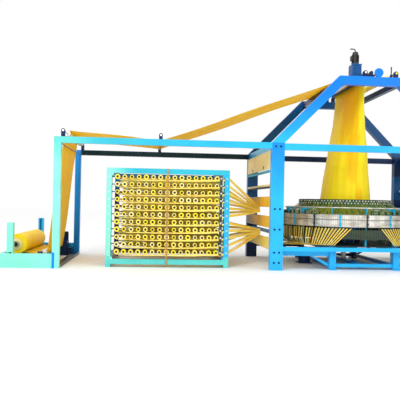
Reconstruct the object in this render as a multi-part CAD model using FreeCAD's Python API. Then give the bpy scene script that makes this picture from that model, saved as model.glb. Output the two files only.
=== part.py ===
import FreeCAD, Part
import math
import os

# Circular power loom line: weaving head under a hipped frame, two bobbin creels beside it, a flattened
# fabric web over the left creel and a floor winder at the left end.
# Millimetres.  Origin: axis of the weaving head, on the floor.  +X runs from the winder towards the
# right-hand creel, +Y away from the operator, +Z up.

V = FreeCAD.Vector
EX, EY, EZ = V(1, 0, 0), V(0, 1, 0), V(0, 0, 1)

# ---- driving dimensions --------------------------------------------------------------------------
# main frame
FRAME_HALF_X = 1980.0        # outer face of the corner posts
FRAME_HALF_Y = 1460.0
POST_X, POST_Y, POST_H = 250.0, 160.0, 2500.0
WALL = 8.0                   # wall of every large square tube
TIE_H, TIE_D = 130.0, 100.0
TIE_DROP = 10.0              # tie beams end this far below the post tops
LEG_ANGLE = 45.6             # slope of the roof legs, degrees
ROOF_RISE = 1360.0           # roof beam tops above the post tops
ROOF_BEAM_H, ROOF_BEAM_D = 170.0, 120.0
ROOF_CROSS_X = 590.0         # cross beams of the roof, centre
ROOF_CROSS_W, ROOF_CROSS_H = 100.0, 110.0
ROOF_CROSS_DROP = 50.0       # keeps the cross beams under the sloping web
# overhead run to the winder
WINDER_POST_X = -6095.0      # centre of the winder posts
WINDER_POST = 130.0
OVERHEAD_H, OVERHEAD_D = 120.0, 120.0
TIE_ROD_R = 10.0
TIE_ROD_DROP = 123.0         # below the post tops, clear of the falling web
TIE_ROD_INSET = 15.0         # from the posts' inner edge, clear of the falling web
# table and base stand
TABLE_TOP, TABLE_H, TABLE_W = 460.0, 80.0, 80.0
STAND_X, STAND_LEG = 660.0, 130.0
STAND_Y, STAND_LEG_Y = 1185.0, 150.0
FOOT_T, FOOT_Y0, FOOT_Y1 = 20.0, 1080.0, 1330.0
ANCHOR_Y, ANCHOR_R = 1297.0, 9.0
RAIL_Z, RAIL_H, RAIL_W = 50.0, 70.0, 70.0
OUTRIGGER_Z, OUTRIGGER_H, OUTRIGGER_W = 270.0, 100.0, 80.0
BRACE_RUN, BRACE_W, BRACE_T = 320.0, 60.0, 40.0
# weaving head
BED_T = 20.0
SPINDLE_R = 30.0             # fixed spindle through the hollow main shaft
SHAFT_R = 55.0
RUN_FIT = 0.06               # radial clearance of every shaft in its bearing
SHAFT_Z0, SHAFT_Z1 = 285.0, 960.0
PULLEY_R, PULLEY_Z0, PULLEY_H = 300.0, 300.0, 60.0
PULLEY_RIM, PULLEY_WEB = 24.0, 14.0
HOUSING_R, HOUSING_T, HOUSING_H = 350.0, 12.0, 320.0
BEARING_R = 175.0            # main bearing barrel in the bed plate
BEARING_FLANGE, BEARING_FLANGE_T, BEARING_DROP = 40.0, 12.0, 70.0
CAM_R, CAM_H = 290.0, 180.0
SEGMENTS = 12                # castings in each ring of the head
TRACK_R0, TRACK_R1 = 1100.0, 1300.0
TRACK_LOW_Z, TRACK_T = 860.0, 30.0
TRACK_GAP = 190.0            # height of the shuttle tunnel
REED_T = 10.0
BAND_T = 8.0
BAND_LOW_H, BAND_HIGH_H, BAND_GAP = 145.0, 100.0, 5.0
COMB_Z, COMB_H, COMB_T = 620.0, 190.0, 8.0
COMB_LAP = 6.0               # the inner comb wall starts this far inside the tracks
COMB_DEPTH = 58.0            # from the inner face of the comb to its outer face
PILLAR_R = 20.0
HEALD_COUNT, HEALD_T = 48, 4.0
HEALD_Z, HEALD_H = 540.0, 640.0
CREST_R, CREST_T, CREST_Z, CREST_H = 1000.0, 60.0, 1260.0, 160.0
RAIL_RING_OUT, RAIL_RING_Z, RAIL_TUBE_R = 10.0, 1250.0, 12.0
BRACKET_T = 16.0
SHUTTLES = 6
SHUTTLE_LEN, SHUTTLE_W, SHUTTLE_H = 420.0, 130.0, 150.0
SHUTTLE_PLATE = 12.0
ROTOR_ARM_W, ROTOR_ARM_H, ROTOR_ARM_Z = 60.0, 24.0, 893.0
WEFT_R, WEFT_LEN, PIN_R = 46.0, 240.0, 8.0
FABRIC_R = 589.0             # woven tube, 1.85 m flat width
RING_W, RING_H, RING_Z = 40.0, 25.0, 1035.0
# drive
MOTOR_X, MOTOR_R, MOTOR_H = -900.0, 130.0, 270.0
MOTOR_PULLEY_R = 75.0
BELT_T, BELT_H, BELT_GAP = 9.0, 40.0, 0.3
# take-up on the roof
NIP_ROLLER_R, PRESS_R, EXIT_R = 90.0, 55.0, 60.0
NIP_X, EXIT_X, SPARE_X = 57.5, -120.0, 510.0
ROOF_ROLLER_Z = 3950.0
ROLLER_FACE = 1920.0         # length of every fabric roller
JOURNAL_R = 20.0
FABRIC_T = 1.2
FABRIC_W = 1850.0
FABRIC_GAP = 0.3
TUBE_BULGE = 70.0            # how far the rising tube stands out from straight lines to the nip
TUBE_END = 0.945             # share of the rise to the nip at which the closed tube ends
# web over the left creel
MID_X, MID_Z, MID_R = -4150.0, 2580.0, 50.0
END_X, END_Z, END_R = -6000.0, 2620.0, 60.0
GUIDE_X, GUIDE_Z, GUIDE_R = -6400.0, 260.0, 50.0
# floor winder
BASE_X0, BASE_X1, BASE_H, BASE_W = -7450.0, -6165.0, 270.0, 80.0
BASE_HALF_Y = 1420.0
ROLL_X, ROLL_R = -6940.0, 200.0
DRUM_R, DRUM_OFFSET, DRUM_Z = 70.0, 150.0, 185.0
GUIDE_POST_W, GUIDE_POST_TOP, SLOT_W = 115.0, 840.0, 50.0
CARRIER_H = 80.0
CORE_R, CORE_OVER = 60.0, 60.0
# creels
CREEL_X0, CREEL_X1, CREEL_H = -5190.0, -2760.0, 1950.0
CREEL_Y0, CREEL_Y1, CREEL_TUBE = -1160.0, 1340.0, 100.0
ROWS, COLUMNS = 11, 15
BOBBIN_R, BOBBIN_BORE, BOBBIN_LEN = 52.5, 17.5, 150.0
BOBBIN_X0, BOBBIN_X1 = -4980.0, -3010.0
BOBBIN_Z0, BOBBIN_Z1 = 300.0, 1780.0
ROW_RAIL = 24.0
SPINDLE_GAP = 0.3
# tape boards at the sides of the main frame
BOARD_T = 20.0
BOARD_BOTTOM = 400.0
BOARD_H = [220.0, 220.0, 200.0, 360.0]
SHELF_T, SHELF_W = 70.0, 120.0
BOARD_RAIL_H, BOARD_RAIL_W = 50.0, 40.0
GAP_SHARES = [21, 19, 18, 24, 2]   # free height between boards 1-2, 2-3, 3-shelf, shelf-rail and rail-4
FEED_R, FEED_INSET = 40.0, 130.0
TAPE_W, TAPE_T = 6.0, 1.0
TAPE_GAP = 0.6               # tape ends stop this far from what guides them

# ---- derived levels ------------------------------------------------------------------------------
ROOF_TOP = POST_H + ROOF_RISE
ROOF_BOTTOM = ROOF_TOP - ROOF_BEAM_H
TIE_TOP = POST_H - TIE_DROP
TIE_ROD_Z = POST_H - TIE_ROD_DROP
BED_R = TRACK_R1
COMB_R = TRACK_R1 - COMB_LAP
BAND_R = COMB_R + COMB_DEPTH
RAIL_RING_R = TRACK_R1 + RAIL_RING_OUT
SHUTTLE_R = (TRACK_R0 + TRACK_R1) / 2
BOARD_TOP = TIE_TOP - TIE_H
BOARD_FREE = BOARD_TOP - BOARD_BOTTOM - sum(BOARD_H) - SHELF_T - BOARD_RAIL_H
GAPS = [BOARD_FREE * share / sum(GAP_SHARES) for share in GAP_SHARES]
BOARD_Z = [BOARD_BOTTOM, BOARD_BOTTOM + BOARD_H[0] + GAPS[0],
           BOARD_BOTTOM + BOARD_H[0] + GAPS[0] + BOARD_H[1] + GAPS[1], BOARD_TOP - BOARD_H[3]]
BOARD_LEVELS = [(z, z + height) for z, height in zip(BOARD_Z, BOARD_H)]
SHELF_Z = BOARD_LEVELS[2][1] + GAPS[2]
BOARD_RAIL_Z = SHELF_Z + SHELF_T + GAPS[3]
FEED_Z = (BOARD_LEVELS[0][1] + BOARD_LEVELS[1][0]) / 2
BED_TOP = TABLE_TOP + BED_T
TRACK_LOW_TOP = TRACK_LOW_Z + TRACK_T
TRACK_HIGH_Z = TRACK_LOW_TOP + TRACK_GAP
TRACK_HIGH_TOP = TRACK_HIGH_Z + TRACK_T
PRESS_X = NIP_X - FABRIC_T / 2 - FABRIC_GAP - PRESS_R
DRIVEN_X = NIP_X + FABRIC_T / 2 + FABRIC_GAP + NIP_ROLLER_R
ROLL_Z = DRUM_Z + math.sqrt((ROLL_R + FABRIC_GAP + DRUM_R) ** 2 - DRUM_OFFSET ** 2)
PILLAR_AT = COMB_R - PILLAR_R


# ---- shape helpers -------------------------------------------------------------------------------
def block(x0, x1, y0, y1, z0, z1):
    """Solid block between two corners."""
    low = V(min(x0, x1), min(y0, y1), min(z0, z1))
    return Part.makeBox(abs(x1 - x0), abs(y1 - y0), abs(z1 - z0), low)


def tube(x0, x1, y0, y1, z0, z1, along, wall=WALL):
    """Square tube whose bore runs along the axis named x, y or z."""
    outer = block(x0, x1, y0, y1, z0, z1)
    spans = {"x": [x0, x1], "y": [y0, y1], "z": [z0, z1]}
    for name, span in spans.items():
        low, high = min(span), max(span)
        spans[name] = [low - 1, high + 1] if name == along else [low + wall, high - wall]
    return outer.cut(block(*spans["x"], *spans["y"], *spans["z"]))


def rod(point, axis, radius, length):
    """Round bar from a point along an axis."""
    return Part.makeCylinder(radius, length, point, axis)


def sleeve(point, axis, outer, inner, length):
    """Round bar with a bore right through."""
    return rod(point, axis, outer, length).cut(rod(point - axis, axis, inner, length + 2))


def plate_xz(points, y0, y1):
    """Outline in the XZ plane given thickness along Y."""
    corners = [V(x, y0, z) for x, z in points]
    face = Part.Face(Part.makePolygon(corners + corners[:1]))
    return face.extrude(V(0, y1 - y0, 0))


def plate_radial(points, thickness):
    """Outline in the (radius, height) plane at angle 0, centred on that plane."""
    return plate_xz(points, -thickness / 2, thickness / 2)


def turned(shape, degrees):
    """Copy turned about the axis of the head."""
    copy = shape.copy()
    copy.rotate(V(0, 0, 0), EZ, degrees)
    return copy


def around(shape, count, start=0.0):
    """Copies of a shape spaced evenly about the axis of the head."""
    return [turned(shape, start + 360.0 * i / count) for i in range(count)]


def flip_x(shape):
    """Mirror image to the other end of the line."""
    return shape.mirror(V(0, 0, 0), EX)


def flip_y(shape):
    """Mirror image from the near side to the far side."""
    return shape.mirror(V(0, 0, 0), EY)


def both_sides(shapes):
    """Near pieces and their far mirror images."""
    return shapes + [flip_y(shape) for shape in shapes]


def four_corners(shape):
    """One piece at each corner of the main frame."""
    pair = both_sides([shape])
    return pair + [flip_x(piece) for piece in pair]


def ring_segments(r0, r1, z0, z1, count=SEGMENTS, start=0.0):
    """Ring made of equal castings that meet face to face."""
    span = 360.0 / count
    section = Part.Face(Part.makePolygon([V(r0, 0, z0), V(r1, 0, z0), V(r1, 0, z1), V(r0, 0, z1), V(r0, 0, z0)]))
    return around(section.revolve(V(0, 0, 0), EZ, span), count, start)


def bar_between(start, end, width, thickness):
    """Flat straight strip between two points."""
    direction = end - start
    strip = Part.makeBox(direction.Length, width, thickness, V(0, -width / 2, -thickness / 2))
    strip.Placement = FreeCAD.Placement(start, FreeCAD.Rotation(EX, direction))
    return strip


NODES = {}


def add(node, shapes):
    """Put the solids of some shapes into one node."""
    NODES.setdefault(node, []).extend(solid for shape in shapes for solid in shape.Solids)


def write_nodes():
    """Write one STEP file for each node."""
    os.makedirs("parts", exist_ok=True)
    for node, solids in NODES.items():
        shape = solids[0] if len(solids) == 1 else Part.makeCompound(solids)
        shape.exportStep("parts/%s.step" % node)


# ---- main frame ----------------------------------------------------------------------------------
def roof_leg():
    """Near left roof leg: hollow, cut level with the post top and the roof beam's underside."""
    lean = (ROOF_BOTTOM - POST_H) / math.tan(math.radians(LEG_ANGLE))
    side = WALL / math.sin(math.radians(LEG_ANGLE))
    x0 = -FRAME_HALF_X

    def outline(inset):
        return [(x0 + inset, POST_H), (x0 + POST_X - inset, POST_H),
                (x0 + POST_X - inset + lean, ROOF_BOTTOM), (x0 + inset + lean, ROOF_BOTTOM)]

    outer = plate_xz(outline(0), -FRAME_HALF_Y, -FRAME_HALF_Y + POST_Y)
    bore = plate_xz(outline(side), -FRAME_HALF_Y + WALL, -FRAME_HALF_Y + POST_Y - WALL)
    return outer.cut(bore)


def make_main_frame():
    post = tube(-FRAME_HALF_X, -FRAME_HALF_X + POST_X, -FRAME_HALF_Y, -FRAME_HALF_Y + POST_Y, 0, POST_H, "z")
    add("corner_posts", four_corners(post))
    add("roof_frame", four_corners(roof_leg()))

    slope = math.tan(math.radians(LEG_ANGLE))
    foot_x = FRAME_HALF_X - (ROOF_BOTTOM - POST_H) / slope
    top_x = FRAME_HALF_X - ROOF_RISE / slope
    outline = [(-foot_x, ROOF_BOTTOM), (foot_x, ROOF_BOTTOM), (top_x, ROOF_TOP), (-top_x, ROOF_TOP)]
    beam = plate_xz(outline, -FRAME_HALF_Y, -FRAME_HALF_Y + ROOF_BEAM_D)
    inner_y = FRAME_HALF_Y - ROOF_BEAM_D
    cross = tube(-ROOF_CROSS_X - ROOF_CROSS_W / 2, -ROOF_CROSS_X + ROOF_CROSS_W / 2, -inner_y, inner_y,
                 ROOF_TOP - ROOF_CROSS_DROP - ROOF_CROSS_H, ROOF_TOP - ROOF_CROSS_DROP, "y")
    add("roof_frame", both_sides([beam]) + [cross, flip_x(cross)])

    x_in, y_in = FRAME_HALF_X - POST_X, FRAME_HALF_Y - POST_Y
    near = tube(-x_in, x_in, -FRAME_HALF_Y, -FRAME_HALF_Y + TIE_D, TIE_TOP - TIE_H, TIE_TOP, "x")
    left = tube(-FRAME_HALF_X, -FRAME_HALF_X + TIE_D, -y_in, y_in, TIE_TOP - TIE_H, TIE_TOP, "y")
    add("roof_frame", both_sides([near]) + [left, flip_x(left)])

    heads = []
    for x in (-FRAME_HALF_X + POST_X * 0.3, -FRAME_HALF_X + POST_X * 0.7):
        for z in (150.0, 350.0, 800.0, 1200.0, TIE_TOP - TIE_H / 2):
            washer = rod(V(x, -FRAME_HALF_Y - 4, z), EY, 20, 4)
            head = rod(V(x, -FRAME_HALF_Y - 14, z), EY, 13, 10)
            heads += four_corners(washer.fuse(head))
    add("frame_bolts", heads)


# ---- overhead run --------------------------------------------------------------------------------
def make_overhead_run():
    half = WINDER_POST / 2
    x0, x1 = WINDER_POST_X - half, WINDER_POST_X + half
    post = tube(x0, x1, -FRAME_HALF_Y, -FRAME_HALF_Y + WINDER_POST, 0, POST_H, "z", 6)
    add("overhead_frame", both_sides([post]))
    beam = tube(x1, -FRAME_HALF_X, -FRAME_HALF_Y, -FRAME_HALF_Y + OVERHEAD_D, POST_H - OVERHEAD_H, POST_H, "x", 6)
    add("overhead_frame", both_sides([beam]))
    inner = FRAME_HALF_Y - WINDER_POST
    tie_rod = rod(V(x1 - TIE_ROD_INSET, -inner, TIE_ROD_Z), EY, TIE_ROD_R, 2 * inner)
    floor_bar = tube(x0, x1, -inner, inner, 0, 60, "y", 5)
    add("overhead_frame", [tie_rod, floor_bar])


# ---- table and base stand ------------------------------------------------------------------------
def make_table():
    x_in = FRAME_HALF_X - POST_X
    z0 = TABLE_TOP - TABLE_H
    edge_y = FRAME_HALF_Y - 20
    near = tube(-x_in, x_in, -edge_y, -edge_y + TABLE_W, z0, TABLE_TOP, "x", 6)
    joist = tube(-STAND_X - TABLE_W / 2, -STAND_X + TABLE_W / 2, -edge_y + TABLE_W, edge_y - TABLE_W,
                 z0, TABLE_TOP, "y", 6)
    add("table_beams", both_sides([near]) + [joist, flip_x(joist)])

    bed = sleeve(V(0, 0, TABLE_TOP), EZ, BED_R, BEARING_R, BED_T)
    add("bed_plate", [bed])

    half_x, half_y = STAND_LEG / 2, STAND_LEG_Y / 2
    leg = tube(-STAND_X - half_x, -STAND_X + half_x, -STAND_Y - half_y, -STAND_Y + half_y, FOOT_T, z0, "z")
    root_x = -x_in - OUTRIGGER_W
    outrigger = tube(root_x, -STAND_X - half_x, -STAND_Y - OUTRIGGER_W / 2, -STAND_Y + OUTRIGGER_W / 2,
                     OUTRIGGER_Z, OUTRIGGER_Z + OUTRIGGER_H, "x", 6)
    post_arm = tube(root_x, root_x + OUTRIGGER_W, -FRAME_HALF_Y + POST_Y, -STAND_Y - OUTRIGGER_W / 2,
                    OUTRIGGER_Z, OUTRIGGER_Z + OUTRIGGER_H, "y", 6)
    heel = -STAND_X - half_x
    brace = plate_xz([(heel, RAIL_Z), (heel, RAIL_Z + BRACE_W), (heel - BRACE_RUN, OUTRIGGER_Z),
                      (heel - BRACE_RUN - BRACE_W, OUTRIGGER_Z)], -STAND_Y - BRACE_T / 2, -STAND_Y + BRACE_T / 2)
    corners = [leg, outrigger, post_arm, brace]
    rail_x = tube(-STAND_X + half_x, STAND_X - half_x, -STAND_Y - RAIL_W / 2, -STAND_Y + RAIL_W / 2,
                  RAIL_Z, RAIL_Z + RAIL_H, "x", 6)
    rail_y = tube(-STAND_X - RAIL_W / 2, -STAND_X + RAIL_W / 2, -STAND_Y + half_y, STAND_Y - half_y,
                  RAIL_Z, RAIL_Z + RAIL_H, "y", 6)
    centre = tube(-RAIL_W, RAIL_W, -STAND_Y + RAIL_W / 2, STAND_Y - RAIL_W / 2, RAIL_Z, RAIL_Z + RAIL_H, "y", 6)
    stand = [solid for piece in corners for solid in four_corners(piece)]
    add("base_stand", stand + both_sides([rail_x]) + [rail_y, flip_x(rail_y), centre])

    foot = block(-STAND_X - half_x, -STAND_X + half_x, -FOOT_Y1, -FOOT_Y0, 0, FOOT_T)
    foot = foot.cut(rod(V(-STAND_X, -ANCHOR_Y, -1), EZ, ANCHOR_R, FOOT_T + 2))
    add("base_stand", four_corners(foot))


# ---- drive under the table -----------------------------------------------------------------------
def belt_outline(r1, r2, centre):
    """Closed belt line round two pulleys, the first on the head's axis and the second at x = centre."""
    reach = abs(centre)
    angle = math.acos((r1 - r2) / reach)
    cos_a, sin_a = math.cos(angle), math.sin(angle)
    z = PULLEY_Z0 + (PULLEY_H - BELT_H) / 2

    def at(x0, radius, c, s):
        return V(x0 - radius * c, radius * s, z)

    edges = [Part.LineSegment(at(0, r1, cos_a, sin_a), at(centre, r2, cos_a, sin_a)),
             Part.Arc(at(centre, r2, cos_a, sin_a), at(centre, r2, 1, 0), at(centre, r2, cos_a, -sin_a)),
             Part.LineSegment(at(centre, r2, cos_a, -sin_a), at(0, r1, cos_a, -sin_a)),
             Part.Arc(at(0, r1, cos_a, -sin_a), at(0, r1, -1, 0), at(0, r1, cos_a, sin_a))]
    return Part.Wire([edge.toShape() for edge in edges])


def make_drive():
    motor_top = FOOT_T + MOTOR_H
    base = block(MOTOR_X - MOTOR_R - 20, MOTOR_X + MOTOR_R + 20, -MOTOR_R - 20, MOTOR_R + 20, 0, FOOT_T)
    body = rod(V(MOTOR_X, 0, FOOT_T), EZ, MOTOR_R, MOTOR_H - 15)
    shield = rod(V(MOTOR_X, 0, motor_top - 15), EZ, MOTOR_R * 0.8, 10)
    terminal = block(MOTOR_X - MOTOR_R - 60, MOTOR_X - MOTOR_R * 0.7, -60, 60, 120, 220).cut(body)
    socket = rod(V(MOTOR_X, 0, motor_top - 45), EZ, JOURNAL_R + RUN_FIT, 50)
    add("main_motor", [base, body.fuse(shield).cut(socket), terminal])
    pulley = rod(V(MOTOR_X, 0, PULLEY_Z0), EZ, MOTOR_PULLEY_R, PULLEY_H)
    stub = rod(V(MOTOR_X, 0, motor_top - 44), EZ, JOURNAL_R, PULLEY_Z0 - motor_top + 44)
    add("motor_pulley", [pulley.fuse(stub)])

    inner = Part.Face(belt_outline(PULLEY_R + BELT_GAP, MOTOR_PULLEY_R + BELT_GAP, MOTOR_X)).extrude(V(0, 0, BELT_H))
    outer = Part.Face(belt_outline(PULLEY_R + BELT_GAP + BELT_T, MOTOR_PULLEY_R + BELT_GAP + BELT_T,
                                   MOTOR_X)).extrude(V(0, 0, BELT_H))
    add("drive_belt", [outer.cut(inner)])

    rim = sleeve(V(0, 0, PULLEY_Z0), EZ, PULLEY_R, PULLEY_R - PULLEY_RIM, PULLEY_H)
    web = sleeve(V(0, 0, PULLEY_Z0 + (PULLEY_H - PULLEY_WEB) / 2), EZ, PULLEY_R - PULLEY_RIM, SHAFT_R + 25, PULLEY_WEB)
    for hole in around(rod(V(PULLEY_R * 0.6, 0, PULLEY_Z0), EZ, 45, PULLEY_H), 6):
        web = web.cut(hole)
    hub = sleeve(V(0, 0, PULLEY_Z0), EZ, SHAFT_R + 25, SHAFT_R, PULLEY_H)
    add("main_pulley", [rim.fuse(web).fuse(hub)])


# ---- weaving head --------------------------------------------------------------------------------
def make_head_core():
    flange = sleeve(V(0, 0, BED_TOP), EZ, BEARING_R + BEARING_FLANGE, SHAFT_R + RUN_FIT, BEARING_FLANGE_T)
    barrel = sleeve(V(0, 0, TABLE_TOP - BEARING_DROP), EZ, BEARING_R, SHAFT_R + RUN_FIT, BED_T + BEARING_DROP)
    add("cam_housing", [flange.fuse(barrel)])

    shell = sleeve(V(0, 0, BED_TOP), EZ, HOUSING_R, HOUSING_R - HOUSING_T, HOUSING_H - HOUSING_T)
    lid = sleeve(V(0, 0, BED_TOP + HOUSING_H - HOUSING_T), EZ, HOUSING_R, SHAFT_R + RUN_FIT, HOUSING_T)
    add("cam_housing", [shell.fuse(lid)])

    cam_z = BED_TOP + 50
    cam = sleeve(V(0, 0, cam_z), EZ, CAM_R, SHAFT_R, CAM_H)
    groove = sleeve(V(0, 0, cam_z + CAM_H * 0.35), EZ, CAM_R + 1, CAM_R - 30, CAM_H * 0.3)
    add("main_shaft", [cam.cut(groove)])
    add("main_shaft", [sleeve(V(0, 0, SHAFT_Z0), EZ, SHAFT_R, SPINDLE_R + RUN_FIT, SHAFT_Z1 - SHAFT_Z0)])

    column_z = RAIL_Z + RAIL_H
    pedestal = rod(V(0, 0, column_z), EZ, SHAFT_R, SHAFT_Z0 - 5 - column_z)
    spindle = rod(V(0, 0, SHAFT_Z0 - 5), EZ, SPINDLE_R, RING_Z - 30 - SHAFT_Z0 + 5)
    add("weaving_ring", [pedestal.fuse(spindle)])
    reach = math.sqrt((FABRIC_R - RING_W) ** 2 - 20 ** 2)
    spider = rod(V(0, 0, RING_Z - 30), EZ, 80, 30)
    for arm in around(block(0, reach, -20, 20, RING_Z - 30, RING_Z), 3, 60):
        spider = spider.fuse(arm)
    add("weaving_ring", [spider])
    rim = sleeve(V(0, 0, RING_Z - 30), EZ, FABRIC_R - 1, FABRIC_R - RING_W, 30 + RING_H)
    add("weaving_ring", [rim])


def make_rings():
    add("shuttle_tracks", ring_segments(TRACK_R0, TRACK_R1, TRACK_LOW_Z, TRACK_LOW_TOP))
    add("shuttle_tracks", ring_segments(TRACK_R0, TRACK_R1, TRACK_HIGH_Z, TRACK_HIGH_TOP))
    add("reed_ring", ring_segments(TRACK_R1 - REED_T, TRACK_R1, TRACK_LOW_TOP, TRACK_HIGH_Z))
    band_z = TRACK_LOW_Z
    low = ring_segments(BAND_R, BAND_R + BAND_T, band_z, band_z + BAND_LOW_H)
    add("guard_bands", low)
    high_z = band_z + BAND_LOW_H + BAND_GAP
    add("guard_bands", ring_segments(BAND_R, BAND_R + BAND_T, high_z, high_z + BAND_HIGH_H))
    comb_out = BAND_R - COMB_T
    inner = ring_segments(COMB_R, COMB_R + COMB_T, COMB_Z, COMB_Z + COMB_H)
    outer = ring_segments(comb_out, comb_out + COMB_T, COMB_Z, COMB_Z + COMB_H)
    bridge_z = COMB_Z + COMB_H / 2
    bridge = block(COMB_R + COMB_T, comb_out - 1, -12, 12, bridge_z - 8, bridge_z + 8)
    add("comb_ring", inner + outer + around(bridge, SEGMENTS))
    pillar = rod(V(PILLAR_AT, 0, BED_TOP), EZ, PILLAR_R - 0.2, TRACK_LOW_Z - BED_TOP)
    add("head_brackets", around(pillar, SEGMENTS))
    clamps = []
    for z in (TRACK_LOW_Z + 2, TRACK_HIGH_TOP - 26):
        clamps += around(block(TRACK_R1 - 0.1, BAND_R - 0.1, -15, 15, z, z + 24), SEGMENTS)
    add("head_brackets", [clamp.cut(rod(V(0, 0, 0), EZ, TRACK_R1, 2000)) for clamp in clamps])
    crest = ring_segments(CREST_R - CREST_T, CREST_R, CREST_Z, CREST_Z + CREST_H)
    add("warp_ring", crest)
    rail_bottom = RAIL_RING_Z - RAIL_TUBE_R - 0.5
    outline = [(TRACK_R1, TRACK_HIGH_TOP), (RAIL_RING_R + 20, rail_bottom), (RAIL_RING_R - 20, rail_bottom),
               (CREST_R, CREST_Z), (CREST_R - CREST_T, CREST_Z), (CREST_R - CREST_T, CREST_Z - 20),
               (TRACK_R1 - 50, rail_bottom - 40), (TRACK_R1 - 40, TRACK_HIGH_TOP)]
    add("head_brackets", around(plate_radial(outline, BRACKET_T), SEGMENTS))
    circle = Part.Wire(Part.makeCircle(RAIL_TUBE_R, V(RAIL_RING_R, 0, RAIL_RING_Z), EY))
    arc = Part.Face(circle).revolve(V(0, 0, 0), EZ, 360.0 / SEGMENTS)
    add("guard_bands", around(arc, SEGMENTS))


def make_healds():
    """Two gangs of flat healds that rise and fall between the comb walls."""
    gap = SPINDLE_GAP
    r0, r1 = COMB_R + COMB_T + gap, BAND_R - COMB_T - gap
    heald = block(r0, math.sqrt(r1 ** 2 - (HEALD_T / 2) ** 2), -HEALD_T / 2, HEALD_T / 2, HEALD_Z, HEALD_Z + HEALD_H)
    step = 360.0 / HEALD_COUNT
    add("healds_odd", around(heald, HEALD_COUNT // 2, step / 2))
    add("healds_even", around(heald, HEALD_COUNT // 2, step * 1.5))


def make_rotor():
    hub = sleeve(V(0, 0, ROTOR_ARM_Z), EZ, SHAFT_R + 45, SHAFT_R, ROTOR_ARM_H + 20)
    reach = SHUTTLE_R - SHUTTLE_W / 2
    wheel = hub
    for arm in around(block(SHAFT_R + 20, reach, -ROTOR_ARM_W / 2, ROTOR_ARM_W / 2, ROTOR_ARM_Z,
                            ROTOR_ARM_Z + ROTOR_ARM_H), SHUTTLES):
        wheel = wheel.fuse(arm)
    add("shuttle_wheel", [wheel])

    r0, r1 = SHUTTLE_R - SHUTTLE_W / 2, SHUTTLE_R + SHUTTLE_W / 2
    half = SHUTTLE_LEN / 2
    z0 = ROTOR_ARM_Z
    bobbin_z = z0 + SHUTTLE_PLATE + WEFT_R + 18
    base = block(r0, r1 - 45, -half, half, z0, z0 + SHUTTLE_PLATE)
    ends = [block(r0, r1 - 45, side * half - 30 * (side > 0), side * half + 30 * (side < 0), z0, z0 + SHUTTLE_H)
            for side in (-1, 1)]
    cheeks = [block(SHUTTLE_R - 45, SHUTTLE_R + 10, side * (WEFT_LEN / 2 + 1), side * (WEFT_LEN / 2 + 11),
                    z0, bobbin_z + 25) for side in (-1, 1)]
    pin = rod(V(SHUTTLE_R - 15, -WEFT_LEN / 2 - 11, bobbin_z), EY, PIN_R, WEFT_LEN + 22)
    shuttle = base
    for piece in ends + cheeks + [pin]:
        shuttle = shuttle.fuse(piece)
    add("shuttles", around(shuttle, SHUTTLES))
    weft = sleeve(V(SHUTTLE_R - 15, -WEFT_LEN / 2, bobbin_z), EY, WEFT_R, PIN_R + RUN_FIT, WEFT_LEN)
    for i, piece in enumerate(around(weft, SHUTTLES)):
        add("weft_bobbin_%d" % (i + 1), [piece])


# ---- fabric rollers ------------------------------------------------------------------------------
def roller(x, z, radius, half_journal):
    """Roller along Y with a journal at each end."""
    barrel = rod(V(x, -ROLLER_FACE / 2, z), EY, radius, ROLLER_FACE)
    return barrel.fuse(rod(V(x, -half_journal, z), EY, JOURNAL_R, 2 * half_journal))


def pillow_block(x, z, y0, y1, foot_z, half=42.0):
    """Near bearing block standing on a beam, with a rounded head."""
    head = rod(V(x, y0, z), EY, half, y1 - y0)
    body = head.fuse(block(x - half, x + half, y0, y1, foot_z, z))
    return body.cut(rod(V(x, y0 - 1, z), EY, JOURNAL_R + RUN_FIT, y1 - y0 + 2))


def make_rollers():
    y0 = -FRAME_HALF_Y + 20
    journal = FRAME_HALF_Y - 22
    add("take_up_roller", [roller(DRIVEN_X, ROOF_ROLLER_Z, NIP_ROLLER_R, journal)])
    sprocket = sleeve(V(DRIVEN_X, y0, ROOF_ROLLER_Z), EY, NIP_ROLLER_R, JOURNAL_R, 15)
    add("take_up_roller", [sprocket])
    add("press_roller", [roller(PRESS_X, ROOF_ROLLER_Z, PRESS_R, journal)])
    add("exit_roller", [roller(EXIT_X, ROOF_ROLLER_Z, EXIT_R, journal)])
    add("roof_guide_roller", [roller(SPARE_X, ROOF_ROLLER_Z, EXIT_R, journal)])
    add("guide_roller_mid", [roller(MID_X, MID_Z, MID_R, journal)])
    add("guide_roller_end", [roller(END_X, END_Z, END_R, journal)])
    blocks = [pillow_block(DRIVEN_X, ROOF_ROLLER_Z, y0 + 17, y0 + 77, ROOF_TOP),
              pillow_block(PRESS_X, ROOF_ROLLER_Z, y0 + 17, y0 + 77, ROOF_TOP, 34.0),
              pillow_block(EXIT_X, ROOF_ROLLER_Z, y0 + 17, y0 + 77, ROOF_TOP),
              pillow_block(SPARE_X, ROOF_ROLLER_Z, y0 + 17, y0 + 77, ROOF_TOP)]
    add("roller_bearings", both_sides(blocks))
    blocks = [pillow_block(MID_X, MID_Z, y0, y0 + 60, POST_H, 36.0),
              pillow_block(END_X, END_Z, y0, y0 + 60, POST_H, 36.0)]
    add("roller_bearings", both_sides(blocks))


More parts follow.
